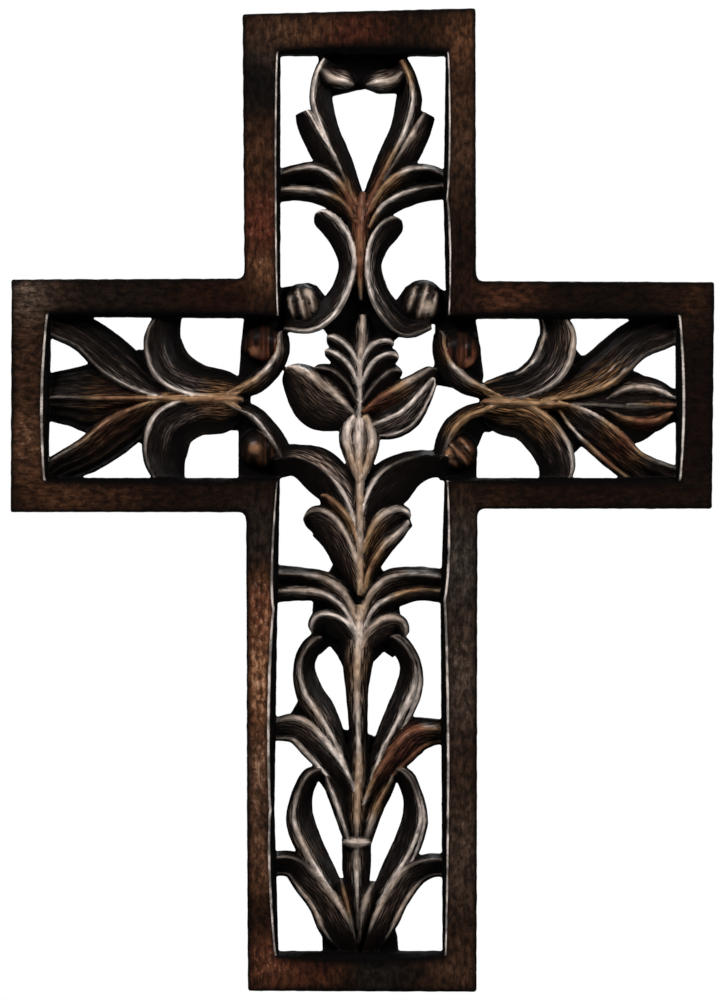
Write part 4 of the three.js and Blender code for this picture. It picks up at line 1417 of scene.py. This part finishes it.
# %% The finish of the leaves
BESIDE = 1.9
BESIDE_STREAKS = (0.47, 0.66, 0.0, 0.6)
CREST_UNEVEN = (0.32, 0.62, 0.3, 1.05)
WASH_STREAKS = (0.43, 0.72, 0.03, 2.0)
WASH_PATCHES = (1.0, 0.35)
BROWNED = 0.12
RUBBED_HEIGHTS = (8 * MM, 10.5 * MM)
WASHED_HEIGHTS = (9.5 * MM, 14 * MM)
LEAF_ROUGHNESS = (0.3, 0.7, 0.3, 0.46)
LEAF_COAT, LEAF_RELIEF = 0.4, 0.1 * MM


def drawn_out(build, net, wide, long, detail):
    """Noise in streaks along each blade, by the blade's own net."""
    return noise(build, build.vector("MULTIPLY", net, (1 / wide, 1 / long, 0)), detail)


def dress_leaves():
    """Black in the cuts, streaks of worn stain and painted light on the slopes, bare wood and the balls'
    painted highlights on the crests.
    """
    build, rub, body, warm, net, width = start_material(carving_wood)
    streaks = drawn_out(build, net, 0.45 * MM, 6 * MM, 3.0)
    ragged = drawn_out(build, net, 2.5 * MM, 6 * MM, 4.0)
    fibres = group_node(build, "grain", "Fibres", Fibre_Width=0.6 * MM, Fibre_Length=7 * MM)
    patches = group_node(build, "mottle", "Patches", Patch_Size=4 * MM, Contrast=0.9)
    line = worn_line(build, net, width, ragged)
    beside = worn_line(build, net, build.times(width, BESIDE), ragged)
    beside = build.times(beside, build.smooth(streaks, *BESIDE_STREAKS))
    uneven = build.smooth(ragged, *CREST_UNEVEN)
    # On the balls the rub share also carries their painted highlight.
    crest = build.times(build.math("MAXIMUM", line, beside), build.times(rub, uneven))
    rubbed = group_node(build, "rubbing", "Rubbed", Crest=crest, Breakup=0.35, Grain_Size=3 * MM)
    rubbed = build.times(rubbed, height_share(build, *RUBBED_HEIGHTS))
    high = height_share(build, *WASHED_HEIGHTS)
    # The body share holds worn stain and, on some blades, painted light on one side of the ridge.
    wash_and_painted_light = build.times(body, build.smooth(streaks, *WASH_STREAKS))
    wash_and_painted_light = build.times(wash_and_painted_light, build.math("MULTIPLY_ADD", patches, *WASH_PATCHES))
    wash_and_painted_light = build.math("MINIMUM", build.times(wash_and_painted_light, high), 1.0)
    browned = build.times(build.times(patches, high), BROWNED)
    dark = colour_mix(build, browned, STAIN_BLACK, STAIN_BROWN)
    slopes = colour_mix(build, wash_and_painted_light, dark, hue(build, warm, WORN_STAIN))
    colour = colour_mix(build, rubbed, slopes, hue(build, warm, BARE_WOOD))
    colour = plain_wood(build, back_share(build), colour)
    roughness = build.node("ShaderNodeMapRange", streaks, *LEAF_ROUGHNESS)
    coat = build.times(build.plus(rubbed, wash_and_painted_light), LEAF_COAT)
    end_material(build, colour, roughness, coat, build.plus(streaks, fibres), LEAF_RELIEF)


dress_leaves()
print("leaves:", len(carving_wood.node_tree.nodes), "nodes")

# %% The finish of the bars
BLOTCHY = (0.32, 0.7, 0.3, 1.6)
FIBROUS = (0.3, 0.65, 0.65, 1.25)
PATCHY = (0.9, 0.4)
FACE_HEIGHTS = (15.5 * MM, 17.5 * MM)
STAIN_SHOWS, WORN_SHOWS, SPECKS_SHOW = (0.0, 0.9, 0.0, 1.0), (0.7, 1.9), (1.7, 2.6)
GRITTY, FLECKS_SHOW = (0.6, 0.7), (0.3, 1.2, 0.0, 0.6)
SIDE_ACROSS, SIDE_HEIGHTS, SIDE_SHARE = (0.6 * MM, 0.1 * MM), (15.5 * MM, 17 * MM), 0.7
BAR_ROUGHNESS = (0.3, 0.7, 0.36, 0.52)
BAR_COAT, BAR_RELIEF = 0.2, 0.18 * MM


def dress_bars():
    """Nearly black, worn through to brown and red in places, black at the edges, with the grain."""
    build, rub, body, warm, net, width = start_material(bar_wood)
    fibres = group_node(build, "grain", "Fibres", Fibre_Width=0.8 * MM, Fibre_Length=7 * MM)
    pores = group_node(build, "grain", "Pores", Fibre_Width=0.5 * MM, Fibre_Length=3 * MM)
    blotches = group_node(build, "grain", "Fibres", Fibre_Width=2.2 * MM, Fibre_Length=3.4 * MM)
    patches = group_node(build, "mottle", "Patches", Patch_Size=9 * MM, Contrast=0.9)
    grit = group_node(build, "mottle", "Patches", Patch_Size=1.3 * MM, Contrast=1.0)
    lit = build.times(body, build.smooth(blotches, *BLOTCHY))
    lit = build.times(lit, build.smooth(fibres, *FIBROUS))
    lit = build.times(lit, build.math("MULTIPLY_ADD", patches, *PATCHY))
    lit = build.times(lit, height_share(build, *FACE_HEIGHTS))
    stained = build.node("ShaderNodeMapRange", lit, *STAIN_SHOWS)
    face = colour_mix(build, stained, STAIN_BLACK, hue(build, warm, BAR_STAIN))
    face = colour_mix(build, build.smooth(lit, *WORN_SHOWS), face, hue(build, warm, BAR_WORN))
    specks = build.times(build.smooth(lit, *SPECKS_SHOW), pores)
    flecks = build.times(build.smooth(grit, *GRITTY), build.smooth(lit, *FLECKS_SHOW))
    face = colour_mix(build, flecks, face, BAR_WORN[0])
    face = colour_mix(build, specks, face, BARE_WOOD[0])
    line = build.times(worn_line(build, net, width, fibres), rub)
    line = group_node(build, "rubbing", "Rubbed", Crest=line, Breakup=0.8, Grain_Size=8 * MM)
    colour = colour_mix(build, line, face, BARE_WOOD[0])
    across = build.node("ShaderNodeSeparateXYZ", net, out=0)
    near_face = build.times(height_share(build, *SIDE_HEIGHTS), SIDE_SHARE)
    side = build.times(build.smooth(across, *SIDE_ACROSS), build.minus(SIDE_SHARE, near_face))
    colour = plain_wood(build, build.math("MAXIMUM", side, back_share(build)), colour)
    roughness = build.node("ShaderNodeMapRange", blotches, *BAR_ROUGHNESS)
    coat = build.times(build.plus(line, body), BAR_COAT)
    end_material(build, colour, roughness, coat, build.plus(fibres, pores), BAR_RELIEF)


dress_bars()
print("bars:", len(bar_wood.node_tree.nodes), "nodes")

# %% Give each face its finish
def split_materials(piece):
    """Gives each face the finish of the bars or of the leaves, by the mark on its points."""
    mesh = piece.data
    mesh.materials.clear()
    mesh.materials.append(carving_wood)
    mesh.materials.append(bar_wood)
    leafy = marks_of(mesh, "finish")[:, 3]
    firsts = np.array([polygon.vertices[0] for polygon in mesh.polygons])
    mesh.polygons.foreach_set("material_index", (leafy[firsts] < 0.5).astype(np.int32))
    print("faces on the bars:", int((leafy[firsts] < 0.5).sum()))


split_materials(carving)

# %% [markdown]
# The piece is one solid on the real cross, so it is one piece here, and it stands for the one solid that
# carries it.

# %% Tell the frame what the piece is
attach(carving, "root")
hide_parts("carved_cross")

# %% [markdown]
# A plain pale floor lies well below, because the cross hangs at eye height. It glows a little, but only
# for the camera. The room is pale all round, and two soft lamps stand high in front, with a broader one
# behind for the flat back.

# %% The floor
EYE_HEIGHT = 1.5
FLOOR_RADIUS = 6
FLOOR_CORNERS = 96
FLOOR_COLOUR = (0.8, 0.8, 0.79, 1)
FLOOR_GLOW = 0.65


def make_floor():
    """A pale round floor under the hanging cross, which looks evenly lit without lighting the cross."""
    mesh = bpy.data.meshes.new("floor")
    corners = [(FLOOR_RADIUS * math.cos(a), FLOOR_RADIUS * math.sin(a), -EYE_HEIGHT)
               for a in np.linspace(0, 2 * math.pi, FLOOR_CORNERS, endpoint=False)]
    mesh.from_pydata(corners, [], [tuple(range(FLOOR_CORNERS))])
    floor = new_object("floor", mesh)
    pale = bpy.data.materials.new("pale_floor")
    pale.use_nodes = True
    shader = pale.node_tree.nodes["Principled BSDF"]
    shader.inputs["Base Color"].default_value = FLOOR_COLOUR
    shader.inputs["Emission Color"].default_value = FLOOR_COLOUR
    shader.inputs["Roughness"].default_value = 0.7
    build = Tree(pale.node_tree)
    seen = build.node("ShaderNodeLightPath", out="Is Camera Ray")
    build.fill(shader.inputs["Emission Strength"], build.times(seen, FLOOR_GLOW))
    mesh.materials.append(pale)


make_floor()
print("floor", EYE_HEIGHT, "m below the hanging point")

# %% The room and the lamps
ROOM_LIGHT = 0.08
MIDDLE = (0, 0, -0.19)
LAMPS = {
    "high_left": {"at": (-0.9, -1.0, 0.9), "size": 0.45, "watts": 36},
    "high_right": {"at": (1.0, -0.9, 0.4), "size": 0.45, "watts": 20},
    "behind": {"at": (0.4, 1.2, 1.3), "size": 0.8, "watts": 34},
}


def pale_room():
    """White where the camera looks past the object, dimmer as a light."""
    world = bpy.data.worlds.new("pale_room")
    scene.world = world
    world.use_nodes = True
    world.node_tree.nodes.clear()
    build = Tree(world.node_tree)
    seen = build.node("ShaderNodeLightPath", out="Is Camera Ray")
    strength = build.node("ShaderNodeMix", seen, ROOM_LIGHT, 1.0, data_type="FLOAT")
    sky = build.node("ShaderNodeBackground", (1, 1, 1, 1), strength)
    end = build.tree.nodes.new("ShaderNodeOutputWorld")
    build.tree.links.new(sky, end.inputs[0])


def soft_lamp(name, at, size, watts):
    """A square soft lamp that points at the middle of the cross."""
    light = bpy.data.lights.new(name, "AREA")
    light.size = size
    light.energy = watts
    lamp = bpy.data.objects.new(name, light)
    lamp.location = at
    lamp.rotation_mode = "QUATERNION"
    lamp.rotation_quaternion = (Vector(MIDDLE) - Vector(at)).to_track_quat("-Z", "Y")
    lamp.visible_camera = False
    scene.collection.objects.link(lamp)


pale_room()
for name, lamp in LAMPS.items():
    soft_lamp(name, **lamp)
print("lamps:", ", ".join(LAMPS))

# %% The camera
PHOTO_WIDTH, PHOTO_HEIGHT = 727, 1000
LENS = 300
SENSOR = 36


def make_camera():
    """A level camera straight in front, with the photograph's framing."""
    data = bpy.data.cameras.new("camera")
    data.lens = LENS
    data.sensor_width = SENSOR
    x, z = place(PHOTO_WIDTH / 2, PHOTO_HEIGHT / 2)
    distance = PHOTO_HEIGHT * SQUARE * LENS / SENSOR
    camera = bpy.data.objects.new("camera", data)
    camera.location = (x, -THICKNESS - distance, z)
    camera.rotation_euler = (math.pi / 2, 0, 0)
    scene.collection.objects.link(camera)
    scene.camera = camera
    print("camera stands", round(distance, 3), "m in front")


make_camera()
scene.view_settings.view_transform = "Standard"
